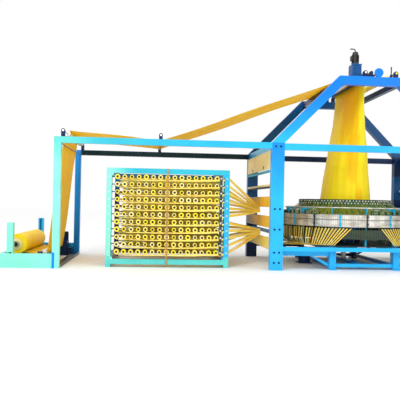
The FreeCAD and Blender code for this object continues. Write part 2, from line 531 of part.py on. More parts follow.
def make_take_up_drive():
    x0, x1 = -400.0, -210.0
    y0, y1 = -FRAME_HALF_Y + 10, -FRAME_HALF_Y + 250
    top = ROOF_TOP + 270
    case = block(x0, x1, y0, y1, ROOF_TOP + 20, top - 20)
    case = case.makeFillet(18, [edge for edge in case.Edges])
    foot = block(x0 - 25, x1 + 25, y0, y1, ROOF_TOP, ROOF_TOP + 22)
    centre_x, centre_y = (x0 + x1) / 2, (y0 + y1) / 2
    neck = rod(V(centre_x, centre_y, top - 30), EZ, 75, 30)
    boss = rod(V(centre_x, y0 - 8, ROOF_TOP + 110), EY, 55, 60)
    add("take_up_gearbox", [case.fuse(foot).fuse(neck).fuse(boss)])
    motor = rod(V(centre_x, centre_y, top), EZ, 62, 190).fuse(rod(V(centre_x, centre_y, top + 190), EZ, 55, 40))
    flange = rod(V(centre_x, centre_y, top), EZ, 75, 14)
    terminal = block(centre_x - 95, centre_x - 40, centre_y - 35, centre_y + 35, top + 60, top + 150)
    add("take_up_motor", [motor.fuse(flange).fuse(terminal)])
    bend, length = 45.0, 60.0
    start = V(centre_x, centre_y, top + 230)
    corner = V(start.x - bend, start.y, start.z + 20 + bend)
    rise = V(start.x, start.y, start.z + 20)
    middle = V(start.x - bend * (1 - math.sqrt(0.5)), start.y, rise.z + bend * math.sqrt(0.5))
    end = V(corner.x - length, corner.y, corner.z)
    path = Part.Wire([Part.LineSegment(start, rise).toShape(), Part.Arc(rise, middle, corner).toShape(),
                      Part.LineSegment(corner, end).toShape()])
    profile = Part.Wire(Part.makeCircle(11, start, EZ))
    add("take_up_motor", [path.makePipeShell([profile], True, False)])

    base_x, pivot_z, y = 410.0, ROOF_TOP + 45, -FRAME_HALF_Y + 50
    cheeks = [block(base_x - 22, base_x + 22, y + d, y + d + 8, ROOF_TOP, pivot_z + 16) for d in (-17, 9)]
    pin = rod(V(base_x, y - 17, pivot_z), EY, PIN_R, 34)
    add("roller_bearings", [cheeks[0].fuse(pin).fuse(cheeks[1])])
    lever = rod(V(base_x, y - 8.7, pivot_z), EY, 15, 17.4).fuse(
        block(base_x - 9, base_x + 9, y - 8.7, y + 8.7, pivot_z, pivot_z + 150))
    knob = Part.makeSphere(16, V(base_x, y, pivot_z + 158))
    add("nip_lever", [lever.cut(rod(V(base_x, y - 20, pivot_z), EY, PIN_R + RUN_FIT, 40)).fuse(knob)])


# ---- fabric --------------------------------------------------------------------------------------
def half_width(half_thickness):
    """Other half axis of an ellipse whose girth is the woven tube's."""
    low, high = half_thickness, FABRIC_W
    for _ in range(60):
        a, b = half_thickness, (low + high) / 2
        girth = math.pi * (3 * (a + b) - math.sqrt((3 * a + b) * (a + 3 * b)))
        low, high = (b, high) if girth < 2 * FABRIC_W else (low, b)
    return min(low, FABRIC_W / 2)


def make_fabric_tube():
    """Woven tube, closed as it flattens into the nip."""
    z0, rise = RING_Z + RING_H, ROOF_ROLLER_Z - RING_Z - RING_H
    steps = 9
    sections = []
    for step in range(steps + 1):
        t = TUBE_END * step / steps
        a = (FABRIC_R - 1) * (1 - t) + TUBE_BULGE * math.sin(math.pi * t)
        centre = V(NIP_X * t, 0, z0 + rise * t)
        ellipse = Part.Ellipse(centre + V(0, half_width(a) if step else a + 0.5, 0), centre + V(a, 0, 0), centre)
        sections.append(Part.Wire(ellipse.toShape()))
    add("fabric_tube", [Part.makeLoft(sections, True, False)])


def web_runs(stops):
    """Straight runs tangent to each stop (x, z, radius, sense); sense is +1 anticlockwise."""
    runs = []
    for (x0, z0, r0, s0), (x1, z1, r1, s1) in zip(stops, stops[1:]):
        turn = s1 * r1 - s0 * r0
        heading = math.atan2(z1 - z0, x1 - x0) - math.asin(turn / math.hypot(x1 - x0, z1 - z0))
        side_x, side_z = math.sin(heading), -math.cos(heading)
        runs.append(((x0 + s0 * r0 * side_x, z0 + s0 * r0 * side_z),
                     (x1 + s1 * r1 * side_x, z1 + s1 * r1 * side_z), heading))
    return runs


def web_sheet(run):
    """Flat stretch of fabric along one run."""
    (x0, z0), (x1, z1), heading = run
    dx, dz = math.sin(heading) * FABRIC_T / 2, -math.cos(heading) * FABRIC_T / 2
    points = [(x0 + dx, z0 + dz), (x1 + dx, z1 + dz), (x1 - dx, z1 - dz), (x0 - dx, z0 - dz)]
    return plate_xz(points, -FABRIC_W / 2, FABRIC_W / 2)


def web_wrap(stop, from_heading, to_heading):
    """Stretch of fabric bent round a roller between two headings."""
    x, z, radius, sense = stop
    start, end = from_heading - sense * math.pi / 2, to_heading - sense * math.pi / 2
    middle = (start + end) / 2

    def at(r, angle):
        return V(x + r * math.cos(angle), -FABRIC_W / 2, z + r * math.sin(angle))

    inner, outer = radius - FABRIC_T / 2, radius + FABRIC_T / 2
    edges = [Part.Arc(at(inner, start), at(inner, middle), at(inner, end)),
             Part.LineSegment(at(inner, end), at(outer, end)),
             Part.Arc(at(outer, end), at(outer, middle), at(outer, start)),
             Part.LineSegment(at(outer, start), at(inner, start))]
    return Part.Face(Part.Wire([edge.toShape() for edge in edges])).extrude(V(0, FABRIC_W, 0))


def make_web():
    lift = FABRIC_GAP + FABRIC_T / 2
    tube_top = RING_Z + RING_H + (ROOF_ROLLER_Z - RING_Z - RING_H) * TUBE_END
    stops = [(NIP_X, tube_top, 0, 1),
             (PRESS_X, ROOF_ROLLER_Z, PRESS_R + lift, 1),
             (EXIT_X, ROOF_ROLLER_Z, EXIT_R + lift, 1),
             (MID_X, MID_Z, MID_R + lift, -1),
             (END_X, END_Z, END_R + lift, 1),
             (GUIDE_X, GUIDE_Z, GUIDE_R + lift, -1),
             (ROLL_X + DRUM_OFFSET, DRUM_Z, DRUM_R + lift, 1)]
    runs = web_runs(stops)
    headings = [run[2] for run in runs]
    wraps = []
    for stop, before, after in zip(stops[1:], headings, headings[1:] + [headings[-1] + math.radians(20)]):
        change = (after - before + math.pi) % (2 * math.pi) - math.pi
        wraps.append(web_wrap(stop, before, before + change))
    add("fabric_web", [web_sheet(runs[0]), wraps[0], web_sheet(runs[1]), wraps[1]])
    add("fabric_web", [web_sheet(runs[2]), wraps[2]])
    add("fabric_web", [web_sheet(runs[3]), wraps[3]])
    add("fabric_web", [web_sheet(runs[4]), wraps[4]])
    add("fabric_web", [web_sheet(runs[5]), wraps[5]])


# ---- floor winder --------------------------------------------------------------------------------
def inner_bearing(x, z, foot_z, half=45.0):
    """Near bearing block on the inner face of a side channel."""
    y0 = -BASE_HALF_Y + BASE_W
    body = block(x - half, x + half, y0, y0 + 40, foot_z, z + half)
    return body.cut(rod(V(x, y0 - 1, z), EY, JOURNAL_R + RUN_FIT, 42))


def make_winder():
    y0, y1 = -BASE_HALF_Y, -BASE_HALF_Y + BASE_W
    side = tube(BASE_X0, BASE_X1, y0, y1, 0, BASE_H, "x", 6)
    cross = tube(BASE_X0, BASE_X0 + BASE_W, y1, -y1, 40, 160, "y", 5)
    add("winder_base", both_sides([side]) + [cross])
    half, half_slot = GUIDE_POST_W / 2, SLOT_W / 2
    cheeks = [block(ROLL_X - half, ROLL_X - half_slot, y0, y1, BASE_H, GUIDE_POST_TOP),
              block(ROLL_X + half_slot, ROLL_X + half, y0, y1, BASE_H, GUIDE_POST_TOP)]
    cap = block(ROLL_X - half, ROLL_X + half, y0, y1, GUIDE_POST_TOP, GUIDE_POST_TOP + 12)
    add("winder_base", both_sides(cheeks + [cap]))

    carrier = block(ROLL_X - half_slot + 0.3, ROLL_X + half_slot - 0.3, y0, y1,
                    ROLL_Z - CARRIER_H / 2, ROLL_Z + CARRIER_H / 2)
    carrier = carrier.cut(rod(V(ROLL_X, y0 - 1, ROLL_Z), EY, JOURNAL_R + RUN_FIT, BASE_W + 2))
    add("roll_carriers", both_sides([carrier]))
    add("winding_shaft", [rod(V(ROLL_X, y0 - 20, ROLL_Z), EY, JOURNAL_R, 2 * BASE_HALF_Y + 40)])
    core_half = FABRIC_W / 2 + CORE_OVER
    add("winding_shaft", [sleeve(V(ROLL_X, -core_half, ROLL_Z), EY, CORE_R, JOURNAL_R, 2 * core_half)])
    add("fabric_roll", [sleeve(V(ROLL_X, -FABRIC_W / 2, ROLL_Z), EY, ROLL_R, CORE_R, FABRIC_W)])

    inner = -y1 - 2
    front_x, rear_x = ROLL_X + DRUM_OFFSET, ROLL_X - DRUM_OFFSET
    add("winding_drum_front", [roller(front_x, DRUM_Z, DRUM_R, inner)])
    add("winding_drum_rear", [roller(rear_x, DRUM_Z, DRUM_R, inner)])
    add("winder_guide_roller", [roller(GUIDE_X, GUIDE_Z, GUIDE_R, inner)])
    drums = both_sides([inner_bearing(front_x, DRUM_Z, DRUM_Z - 60), inner_bearing(rear_x, DRUM_Z, DRUM_Z - 60)])
    add("roller_bearings", drums + [inner_bearing(GUIDE_X, GUIDE_Z, 180)])

    gear_y0, gear_y1 = ROLLER_FACE / 2 + 40, -y1
    case = block(GUIDE_X - 40, GUIDE_X + 130, gear_y0, gear_y1, 0, 330)
    case = case.cut(rod(V(GUIDE_X, gear_y0 - 1, GUIDE_Z), EY, JOURNAL_R + RUN_FIT, inner - gear_y0 + 1.5))
    centre_x, centre_y = GUIDE_X + 60, (gear_y0 + gear_y1) / 2
    motor = rod(V(centre_x, centre_y, 330), EZ, 75, 220)
    foot = block(GUIDE_X + 130, GUIDE_X + 230, gear_y0 + 30, gear_y1 - 30, 0, 180)
    add("winder_gearmotor", [case.fuse(motor), foot])


# ---- creels --------------------------------------------------------------------------------------
def spread(low, high, count):
    """Evenly spaced values from low to high."""
    return [low + (high - low) * i / (count - 1) for i in range(count)]


def creel_faces(shapes):
    """Near-face pieces and their mirror images on the creel's far face."""
    middle = (CREEL_Y0 + CREEL_Y1) / 2
    return shapes + [shape.mirror(V(0, middle, 0), EY) for shape in shapes]


def make_creels():
    t, x0, x1 = CREEL_TUBE, CREEL_X0, CREEL_X1
    y0, y1, depth = CREEL_Y0, CREEL_Y1, 2 * CREEL_TUBE
    face = [tube(x, x + t, y0, y0 + depth, 0, CREEL_H, "z", 6) for x in (x0, x1 - t)]
    face += [tube(x0 + t, x1 - t, y0, y0 + t, z, z + t, "x", 6) for z in (60, CREEL_H - t)]
    sides = [tube(x, x + t, y0 + depth, y1 - depth, z, z + t, "y", 6)
             for x in (x0, x1 - t) for z in (60, CREEL_H - t)]
    frame = creel_faces(face) + sides
    back = y0 + depth - 25
    rows = spread(BOBBIN_Z0, BOBBIN_Z1, ROWS)
    columns = spread(BOBBIN_X0, BOBBIN_X1, COLUMNS)
    rails = creel_faces([block(x0 + t, x1 - t, back, back + ROW_RAIL, z - ROW_RAIL / 2, z + ROW_RAIL / 2)
                         for z in rows])
    bobbin_y = y0 + 10
    pegs, bobbins = [], []
    for x in columns:
        for z in rows:
            pegs.append(rod(V(x, bobbin_y - 6, z), EY, BOBBIN_BORE - SPINDLE_GAP, back - bobbin_y + 6))
            bobbins.append(sleeve(V(x, bobbin_y, z), EY, BOBBIN_R, BOBBIN_BORE, BOBBIN_LEN))
    pegs, bobbins = creel_faces(pegs), creel_faces(bobbins)
    pole_x = columns[COLUMNS // 2]
    poles = creel_faces([rod(V(pole_x, y0 - 15, 60), EZ, 15, CREEL_H - 60)])
    plates, gussets = [], []
    for x in (x0 + 10, x1 - 90):
        plate = block(x, x + 80, y0 - 5, y0, BOBBIN_Z0 - 80, BOBBIN_Z1 + 80)
        for z in rows:
            plate = plate.cut(rod(V(x + 40, y0 - 6, z), EY, 9, 7))
        plates.append(plate)
    for x, sx in ((x0 + t, 1), (x1 - t, -1)):
        for z, sz in ((60 + t, 1), (CREEL_H - t, -1)):
            gussets.append(plate_xz([(x, z), (x + sx * 60, z), (x, z + sz * 60)], y0, y0 + 8))
    plates, gussets = creel_faces(plates), creel_faces(gussets)

    for side, place in (("left", lambda shape: shape), ("right", flip_x)):
        add("creel_frame_" + side, [place(shape) for shape in frame])
        add("creel_frame_" + side, [place(shape) for shape in rails])
        add("creel_pegs", [place(shape) for shape in pegs])
        add("bobbins_" + side, [place(shape) for shape in bobbins])
    add("creel_fittings", poles + [flip_x(shape) for shape in poles])
    add("creel_fittings", plates + [flip_x(shape) for shape in plates])
    add("creel_fittings", gussets + [flip_x(shape) for shape in gussets])
    return rows


# ---- tape boards and tapes -----------------------------------------------------------------------
def make_boards(rows):
    y_in = FRAME_HALF_Y - POST_Y
    x0 = -FRAME_HALF_X
    boards = [block(x0, x0 + BOARD_T, -y_in, y_in, z0, z1) for z0, z1 in BOARD_LEVELS]
    shelf = block(x0, x0 + SHELF_W, -y_in, y_in, SHELF_Z, SHELF_Z + SHELF_T)
    rail = block(x0, x0 + BOARD_RAIL_W, -y_in, y_in, BOARD_RAIL_Z, BOARD_RAIL_Z + BOARD_RAIL_H)
    add("tape_boards", boards + [flip_x(board) for board in boards])
    add("tape_boards", [shelf, flip_x(shelf), rail, flip_x(rail)])

    feed_x = -FRAME_HALF_X + FEED_INSET
    journal = y_in - 0.3
    feed = rod(V(feed_x, -y_in + 45, FEED_Z), EY, FEED_R, 2 * y_in - 90)
    feed = feed.fuse(rod(V(feed_x, -journal, FEED_Z), EY, 15, 2 * journal))
    add("feed_roller_left", [feed])
    add("feed_roller_right", [flip_x(feed)])
    bearing = block(feed_x - 40, feed_x + 40, -y_in, -y_in + 40, FEED_Z - 40, FEED_Z + 40)
    bearing = bearing.cut(rod(V(feed_x, -y_in - 1, FEED_Z), EY, 15 + RUN_FIT, 42))
    add("roller_bearings", four_corners(bearing))

    gaps = [(BOARD_LEVELS[0][1] + BOARD_LEVELS[1][0]) / 2, (BOARD_LEVELS[1][1] + BOARD_LEVELS[2][0]) / 2]
    warp = []
    for i, z in enumerate(rows):
        gap_z = gaps[0] if z < (rows[0] + rows[-1]) / 2 else gaps[1]
        end_z = gap_z + (z - gap_z) * 0.12
        for y, end_y in ((CREEL_Y0 + 40, -420), (CREEL_Y0 + 130, -140), (CREEL_Y1 - 130, 320), (CREEL_Y1 - 40, 560)):
            start = V(CREEL_X1 + TAPE_GAP, y, z)
            end = V(-FRAME_HALF_X - TAPE_GAP, end_y + 12 * i, end_z)
            warp.append(bar_between(start, end, TAPE_W, TAPE_T))
    add("warp_tapes", warp)
    add("warp_tapes", [flip_x(tape) for tape in warp])

    fan = []
    ring = BAND_R + BAND_T + 2
    for k in spread(-1.0, 1.0, 25):
        angle = math.pi - math.radians(60) * k
        start = V(-FRAME_HALF_X + BOARD_T + TAPE_GAP, -(y_in - 50) * k, BOARD_LEVELS[0][0] + 110)
        end = V(ring * math.cos(angle), -ring * math.sin(angle), COMB_Z + COMB_H + 20)
        fan.append(bar_between(start, end, TAPE_W, TAPE_T))
    add("warp_tapes", fan)
    add("warp_tapes", [flip_x(tape) for tape in fan])


def main():
    make_main_frame()
    make_overhead_run()
    make_table()
    make_drive()
    make_head_core()
    make_rings()
    make_healds()
    make_rotor()
    make_rollers()
    make_take_up_drive()
    make_fabric_tube()
    make_web()
    make_winder()
    rows = make_creels()
    make_boards(rows)
    write_nodes()


main()
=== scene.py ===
"""Looks of a circular power loom line: paint, steel, cloth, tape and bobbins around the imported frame."""

import logging
import math
import random
from dataclasses import dataclass, field
from enum import Enum
from typing import Iterable, Sequence

import bmesh
import bpy
from mathutils import Matrix, Vector


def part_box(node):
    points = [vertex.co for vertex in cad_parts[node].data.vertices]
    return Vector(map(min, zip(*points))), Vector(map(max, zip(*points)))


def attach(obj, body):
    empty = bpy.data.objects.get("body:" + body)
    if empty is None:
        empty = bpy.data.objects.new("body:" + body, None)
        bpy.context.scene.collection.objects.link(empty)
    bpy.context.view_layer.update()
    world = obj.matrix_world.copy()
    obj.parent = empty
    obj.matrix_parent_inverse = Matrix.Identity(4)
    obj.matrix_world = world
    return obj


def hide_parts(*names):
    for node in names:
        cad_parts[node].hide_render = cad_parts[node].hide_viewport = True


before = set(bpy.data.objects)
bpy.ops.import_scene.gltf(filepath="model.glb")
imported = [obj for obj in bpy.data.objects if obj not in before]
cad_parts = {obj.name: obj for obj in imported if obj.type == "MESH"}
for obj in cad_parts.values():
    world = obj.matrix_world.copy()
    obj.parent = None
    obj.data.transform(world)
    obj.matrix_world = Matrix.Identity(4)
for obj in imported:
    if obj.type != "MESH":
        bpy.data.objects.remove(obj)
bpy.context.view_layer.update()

log = logging.getLogger("power_loom")
Point = tuple[float, float, float]
Node = bpy.types.ShaderNode
Socket = bpy.types.NodeSocket
Value = Socket | float | Point
MIX_COLOUR_INPUTS, MIX_COLOUR_OUTPUT = (0, 6, 7), 2
ALL_SMOOTH = math.pi


# ---- small node helpers --------------------------------------------------------------------------
class Graph:
    """A material's node tree with short calls for the nodes this loom needs."""

    def __init__(self, name: str) -> None:
        """Start an empty material with a surface shader.

        Args:
            name: the material's name.
        """
        self.material = bpy.data.materials.new(name)
        self.material.use_nodes = True
        self.tree = self.material.node_tree
        self.tree.nodes.clear()
        self.shader = self.node("BsdfPrincipled")
        self.output = self.node("OutputMaterial")
        self.link(self.shader.outputs["BSDF"], self.output.inputs["Surface"])
        self.coords = self.node("TexCoord").outputs["Object"]
        self.parts: Node | None = None

    def node(self, kind: str) -> Node:
        """Add a shader node of a kind."""
        return self.tree.nodes.new("ShaderNode" + kind)

    def link(self, output: Socket, target: Socket) -> None:
        """Join two sockets."""
        self.tree.links.new(output, target)

    def feed(self, target: Socket, value: Value) -> None:
        """Fill an input socket.

        Args:
            target: the socket to fill.
            value: a plain value, or a socket to link from.
        """
        if isinstance(value, Socket):
            self.link(value, target)
        elif target.type == "RGBA":
            target.default_value = (*value, 1.0) if len(value) == 3 else value
        else:
            target.default_value = value

    def axis(self, name: str) -> Socket:
        """The X, Y or Z object coordinate, or its size where the name is written |X|."""
        if self.parts is None:
            self.parts = self.node("SeparateXYZ")
            self.link(self.coords, self.parts.inputs[0])
        plain = self.parts.outputs[name.strip("|")]
        return self.math("ABSOLUTE", plain) if name.startswith("|") else plain

    def shade(self) -> Socket:
        """The shade value stored on a piece's vertices."""
        node = self.node("Attribute")
        node.attribute_name = "shade"
        return node.outputs["Fac"]

    def math(self, operation: str, first: Value, second: Value = 0.0) -> Socket:
        """One Math node.

        Args:
            operation: the node's operation.
            first: its first input.
            second: its second input, where it has one.

        Returns:
            The result.
        """
        node = self.node("Math")
        node.operation = operation
        self.feed(node.inputs[0], first)
        self.feed(node.inputs[1], second)
        return node.outputs[0]

    def times(self, first: Value, second: Value) -> Socket:
        """Product of two values."""
        return self.math("MULTIPLY", first, second)

    def plus(self, first: Value, second: Value) -> Socket:
        """Sum of two values."""
        return self.math("ADD", first, second)

    def ramp(self, value: Value, low: float, high: float) -> Socket:
        """Smooth step.

        Args:
            value: what it follows.
            low: where it leaves 0.
            high: where it reaches 1.

        Returns:
            The step, 0 to 1.
        """
        node = self.node("MapRange")
        node.interpolation_type = "SMOOTHSTEP"
        self.feed(node.inputs["Value"], value)
        node.inputs["From Min"].default_value, node.inputs["From Max"].default_value = low, high
        return node.outputs["Result"]

    def mix(self, factor: Value, first: Value, second: Value) -> Socket:
        """Mix two colours.

        Args:
            factor: share of the second colour.
            first: the colour at 0.
            second: the colour at 1.

        Returns:
            The mixed colour.
        """
        node = self.node("Mix")
        node.data_type = "RGBA"
        for number, value in zip(MIX_COLOUR_INPUTS, (factor, first, second)):
            self.feed(node.inputs[number], value)
        return node.outputs[MIX_COLOUR_OUTPUT]

    def tinge(self, colour: Value, stain: Value, mask: Socket, share: float) -> Socket:
        """Stain a colour under a mask.

        Args:
            colour: the clean colour.
            stain: the stain's colour.
            mask: 0 to 1 spread of the stain.
            share: how much of the stain shows where the mask is 1.

        Returns:
            The stained colour.
        """
        return self.mix(self.times(mask, share), colour, stain)

    def vary(self, middle: float, noise: Socket, swing: float, below: float) -> Socket:
        """A value that a noise moves about its middle.

        Args:
            middle: the value that the finish names.
            noise: 0 to 1 noise.
            swing: how far the noise lifts the value.
            below: how far under the middle the lift starts.

        Returns:
            The moving value.
        """
        return self.plus(self.times(noise, swing), middle - below)

    def noise(self, scale: float, detail: float = 3.0, stretch: Point = (1.0, 1.0, 1.0),
              space: Socket | None = None) -> Socket:
        """Noise stretched along the axes.

        Args:
            scale: cells per metre.
            detail: octaves.
            stretch: factors on the three coordinates.
            space: the coordinates, if not the object's.

        Returns:
            The noise, about 0.5.
        """
        mapping = self.node("Mapping")
        mapping.inputs["Scale"].default_value = stretch
        self.link(space or self.coords, mapping.inputs["Vector"])
        node = self.node("TexNoise")
        self.link(mapping.outputs["Vector"], node.inputs["Vector"])
        node.inputs["Scale"].default_value = scale
        node.inputs["Detail"].default_value = detail
        return node.outputs["Fac"]

    def wave(self, value: Value, pitch: float) -> Socket:
        """0 to 1 ripple of a coordinate with one crest each pitch."""
        return self.half_sine(self.times(value, 2 * math.pi / pitch))

    def half_sine(self, angle: Value) -> Socket:
        """Sine lifted into 0 to 1."""
        return self.plus(self.times(self.math("SINE", angle), 0.5), 0.5)

    def bump(self, height: Value, distance: float, strength: float) -> None:
        """Drive the shader's normal from a height.

        Args:
            height: 0 to 1 height.
            distance: what 1 stands for, in metres.
            strength: share of the effect.
        """
        node = self.node("Bump")
        node.inputs["Distance"].default_value = distance
        node.inputs["Strength"].default_value = strength
        self.feed(node.inputs["Height"], height)
        self.link(node.outputs["Normal"], self.shader.inputs["Normal"])

    def glow(self, colour: Value, share: float) -> None:
        """Let a share of the light through the surface, as thin cloth does."""
        thin = self.node("BsdfTranslucent")
        self.feed(thin.inputs["Color"], colour)
        both = self.node("MixShader")
        both.inputs["Fac"].default_value = share
        self.link(self.shader.outputs["BSDF"], both.inputs[1])
        self.link(thin.outputs["BSDF"], both.inputs[2])
        self.link(both.outputs["Shader"], self.output.inputs["Surface"])

    def surface(self, colour: Value, roughness: Value, metallic: float = 0.0) -> bpy.types.Material:
        """Set the shader's main inputs and return the material.

        Args:
            colour: base colour.
            roughness: surface roughness.
            metallic: 0 for paint, 1 for bare metal.

        Returns:
            The finished material.
        """
        self.feed(self.shader.inputs["Base Color"], colour)
        self.feed(self.shader.inputs["Roughness"], roughness)
        self.shader.inputs["Metallic"].default_value = metallic
        return self.material


# ---- finishes ------------------------------------------------------------------------------------
class Tint(Enum):
    """Paint and cloth colours of the line; several of them also serve as painted light and shade."""

    MINT = (0.26, 0.84, 0.66)
    AQUA = (0.115, 0.61, 0.56)
    GREEN_GOLD = (0.30, 0.32, 0.02)
    HONEY = (1.0, 0.78, 0.015)
    SKY = (0.022, 0.46, 0.90)
    AZURE = (0.0, 0.19, 0.84)
    LAGOON = (0.005, 0.24, 0.70)
    NAVY = (0.001, 0.014, 0.085)
    TEAL = (0.001, 0.022, 0.030)
    DUSK = (0.001, 0.070, 0.24)
    CYAN = (0.015, 0.42, 0.66)
    BOTTLE = (0.006, 0.045, 0.016)
    LEAF = (0.006, 0.11, 0.016)
    CREAM = (0.98, 0.78, 0.34)
    YELLOW = (1.0, 0.82, 0.02)
    AMBER = (0.98, 0.42, 0.004)
    GOLD = (0.98, 0.55, 0.012)
    STRAW = (1.0, 0.80, 0.16)
    OLIVE = (0.20, 0.13, 0.008)
    BLACK = (0.002, 0.0022, 0.003)
    STEEL = (0.48, 0.48, 0.46)
    PEARL = (0.84, 0.82, 0.76)
    TURQUOISE = (0.035, 0.48, 0.62)
    CARD = (0.62, 0.50, 0.30)
    COPPER = (0.52, 0.27, 0.09)
    PAPER = (0.98, 0.98, 0.98)


class Dirt(Enum):
    """Colours of what settles on the finishes or shows through them, and RIB_SHADE, the painted shade of ribbed strip.
    """

    DUST = (0.0, 0.06, 0.12)
    CHIPS = (0.02, 0.05, 0.08)
    OIL = (0.22, 0.19, 0.13)
    GREASE = (0.09, 0.075, 0.03)
    # painted shade: broad darker bands round ribbed strip
    RIB_SHADE = (0.02, 0.03, 0.02)
    BLEACH = (0.96, 0.88, 0.48)


@dataclass(frozen=True)
class Fade:
    """A change of colour along one axis of the line: painted light and shade, where a part is lighter or darker by how
    the light falls on it.
    """

    axis: str
    low: float
    high: float
    tint: Tint


@dataclass(frozen=True)
class Patch:
    """A stretch of a node between planes on one or more axes, in a colour of its own; some patches give a part its own
    colour, others paint shade where the stretch lies in shadow.
    """

    tint: Tint
    spans: tuple[tuple[str, float, float], ...]

    def mask(self, g: Graph) -> Value:
        """1 inside the stretch and 0 outside it."""
        inside: Value = 1.0
        for axis, low, high in self.spans:
            at = g.axis(axis)
            inside = g.times(inside, g.times(g.math("GREATER_THAN", at, low), g.math("LESS_THAN", at, high)))
        return inside


@dataclass(frozen=True)
class Enamel:
    """Sprayed gloss enamel with orange peel, dust and a few rubbed patches; its fades and some of its patches paint
    light and shade.
    """

    name: str
    tint: Tint
    fades: tuple[Fade, ...] = ()
    patches: tuple[Patch, ...] = ()
    roughness: float = 0.28

    def build(self) -> bpy.types.Material:
        """Make the paint's material."""
        g = Graph(self.name)
        colour: Value = self.tint.value
        # painted light and shade: the fades, and those patches that darken stretches lying in shade
        for fade in self.fades:
            share = g.ramp(g.axis(fade.axis), min(fade.low, fade.high), max(fade.low, fade.high))
            if fade.low > fade.high:
                share = g.math("SUBTRACT", 1.0, share)
            colour = g.mix(share, colour, fade.tint.value)
        for patch in self.patches:
            colour = g.mix(patch.mask(g), colour, patch.tint.value)
        cloud = g.ramp(g.noise(1.7, 4.0), 0.35, 0.75)
        dusty = g.tinge(colour, Dirt.DUST.value, cloud, 0.16)
        specks = g.ramp(g.noise(38.0, 5.0), 0.66, 0.74)
        worn = g.tinge(dusty, Dirt.CHIPS.value, specks, 0.3)
        peel = g.noise(420.0, 2.0)
        g.bump(peel, 0.0006, 0.35)
        g.shader.inputs["Specular IOR Level"].default_value = 0.22
        return g.surface(worn, g.vary(self.roughness, g.noise(6.0), 0.22, 0.08))


@dataclass(frozen=True)
class Machined:
    """Turned or ground steel with tool marks round the head's axis or along rollers."""

    name: str
    tint: Tint = Tint.STEEL
    roughness: float = 0.32
    mark_depth: float = 0.0003
    metallic: float = 0.9

    def build(self) -> bpy.types.Material:
        """Make the steel's material."""
        g = Graph(self.name)
        marks = g.noise(55.0, stretch=(1.0, 1.0, 9.0))
        stain = g.ramp(g.noise(4.5, 4.0), 0.45, 0.75)
        oiled = g.tinge(self.tint.value, Dirt.OIL.value, stain, 0.45)
        g.bump(marks, self.mark_depth, 0.3)
        return g.surface(oiled, g.vary(self.roughness, marks, 0.25, 0.1), self.metallic)


@dataclass(frozen=True)
class Ribbed:
    """Bright reed wires or ribbed strip: fine upright ribs set round the head's axis, with painted shade in the gaps
    between the ribs and in broad bands round the ring.
    """

    name: str
    tint: Tint
    gap_shade_tint: Tint
    ribs: int
    openness: float = 0.5
    metallic: float = 0.35
    tarnish: float = 0.35

    def build(self) -> bpy.types.Material:
        """Make the ribbed material."""
        g = Graph(self.name)
        angle = g.math("ARCTAN2", g.axis("Y"), g.axis("X"))
        rib = g.half_sine(g.times(angle, float(self.ribs)))
        broad = g.half_sine(g.times(angle, self.ribs / 7.0))
        # painted shade: the gaps between the ribs take the darker gap colour
        base = g.tinge(self.tint.value, self.gap_shade_tint.value, g.ramp(rib, 0.2, 0.8), self.openness)
        patch = g.ramp(g.noise(5.0, 5.0, (1.0, 1.0, 3.0)), 0.40, 0.66)
        blotched = g.tinge(base, Tint.OLIVE.value, patch, self.tarnish)
        # painted shade: broad darker bands round the ring
        shaded = g.tinge(blotched, Dirt.RIB_SHADE.value, broad, 0.25)
        g.bump(rib, 0.002, 0.6)
        return g.surface(shaded, 0.38, self.metallic)


@dataclass(frozen=True)
class Casting:
    """Painted sand casting with a grainy skin and oil stains."""

    name: str
    tint: Tint
    roughness: float = 0.55

    def build(self) -> bpy.types.Material:
        """Make the casting's material."""
        g = Graph(self.name)
        grain = g.noise(160.0, 6.0)
        stain = g.ramp(g.noise(5.0, 5.0), 0.4, 0.72)
        colour = g.tinge(self.tint.value, Dirt.GREASE.value, stain, 0.25)
        g.bump(grain, 0.0015, 0.5)
        return g.surface(colour, g.vary(self.roughness, grain, 0.3, 0.15))


@dataclass(frozen=True)
class Woven:
    """Flat polypropylene tape cloth, woven one over one; UV runs across and along in metres."""

    name: str
    light: Tint
    deep: Tint
    pitch: float = 0.008
    streak: float = 0.5
    # share of painted shade in the diagonal creases, which turn towards the deep colour
    fold_shade: float = 0.0
    glow: float = 0.0

    def build(self) -> bpy.types.Material:
        """Make the cloth's material."""
        g = Graph(self.name)
        uv = g.node("UVMap").outputs["UV"]
        split = g.node("SeparateXYZ")
        g.link(uv, split.inputs[0])
        across, along = split.outputs["X"], split.outputs["Y"]
        checks = g.math("ABSOLUTE", g.math("SUBTRACT", g.wave(along, self.pitch), g.wave(across, self.pitch)))
        streaks = g.noise(2.2, 4.0, (3.0, 0.35, 1.0), uv)
        tone = g.times(g.ramp(streaks, 0.35, 0.68), self.streak)
        # painted shade: diagonal crease bands darkened towards the deep colour
        slant = g.plus(g.times(across, 2.9), g.times(along, 1.55))
        bent = g.plus(slant, g.times(streaks, 3.0))
        crease = g.times(g.ramp(g.half_sine(bent), 0.55, 0.95), self.fold_shade)
        base = g.mix(g.math("MAXIMUM", tone, crease), self.light.value, self.deep.value)
        threads = g.tinge(base, self.deep.value, checks, 0.14)
        g.bump(checks, 0.0008, 0.5)
        g.shader.inputs["Specular IOR Level"].default_value = 0.12
        if self.glow:
            g.glow(threads, self.glow)
        return g.surface(threads, 0.46)


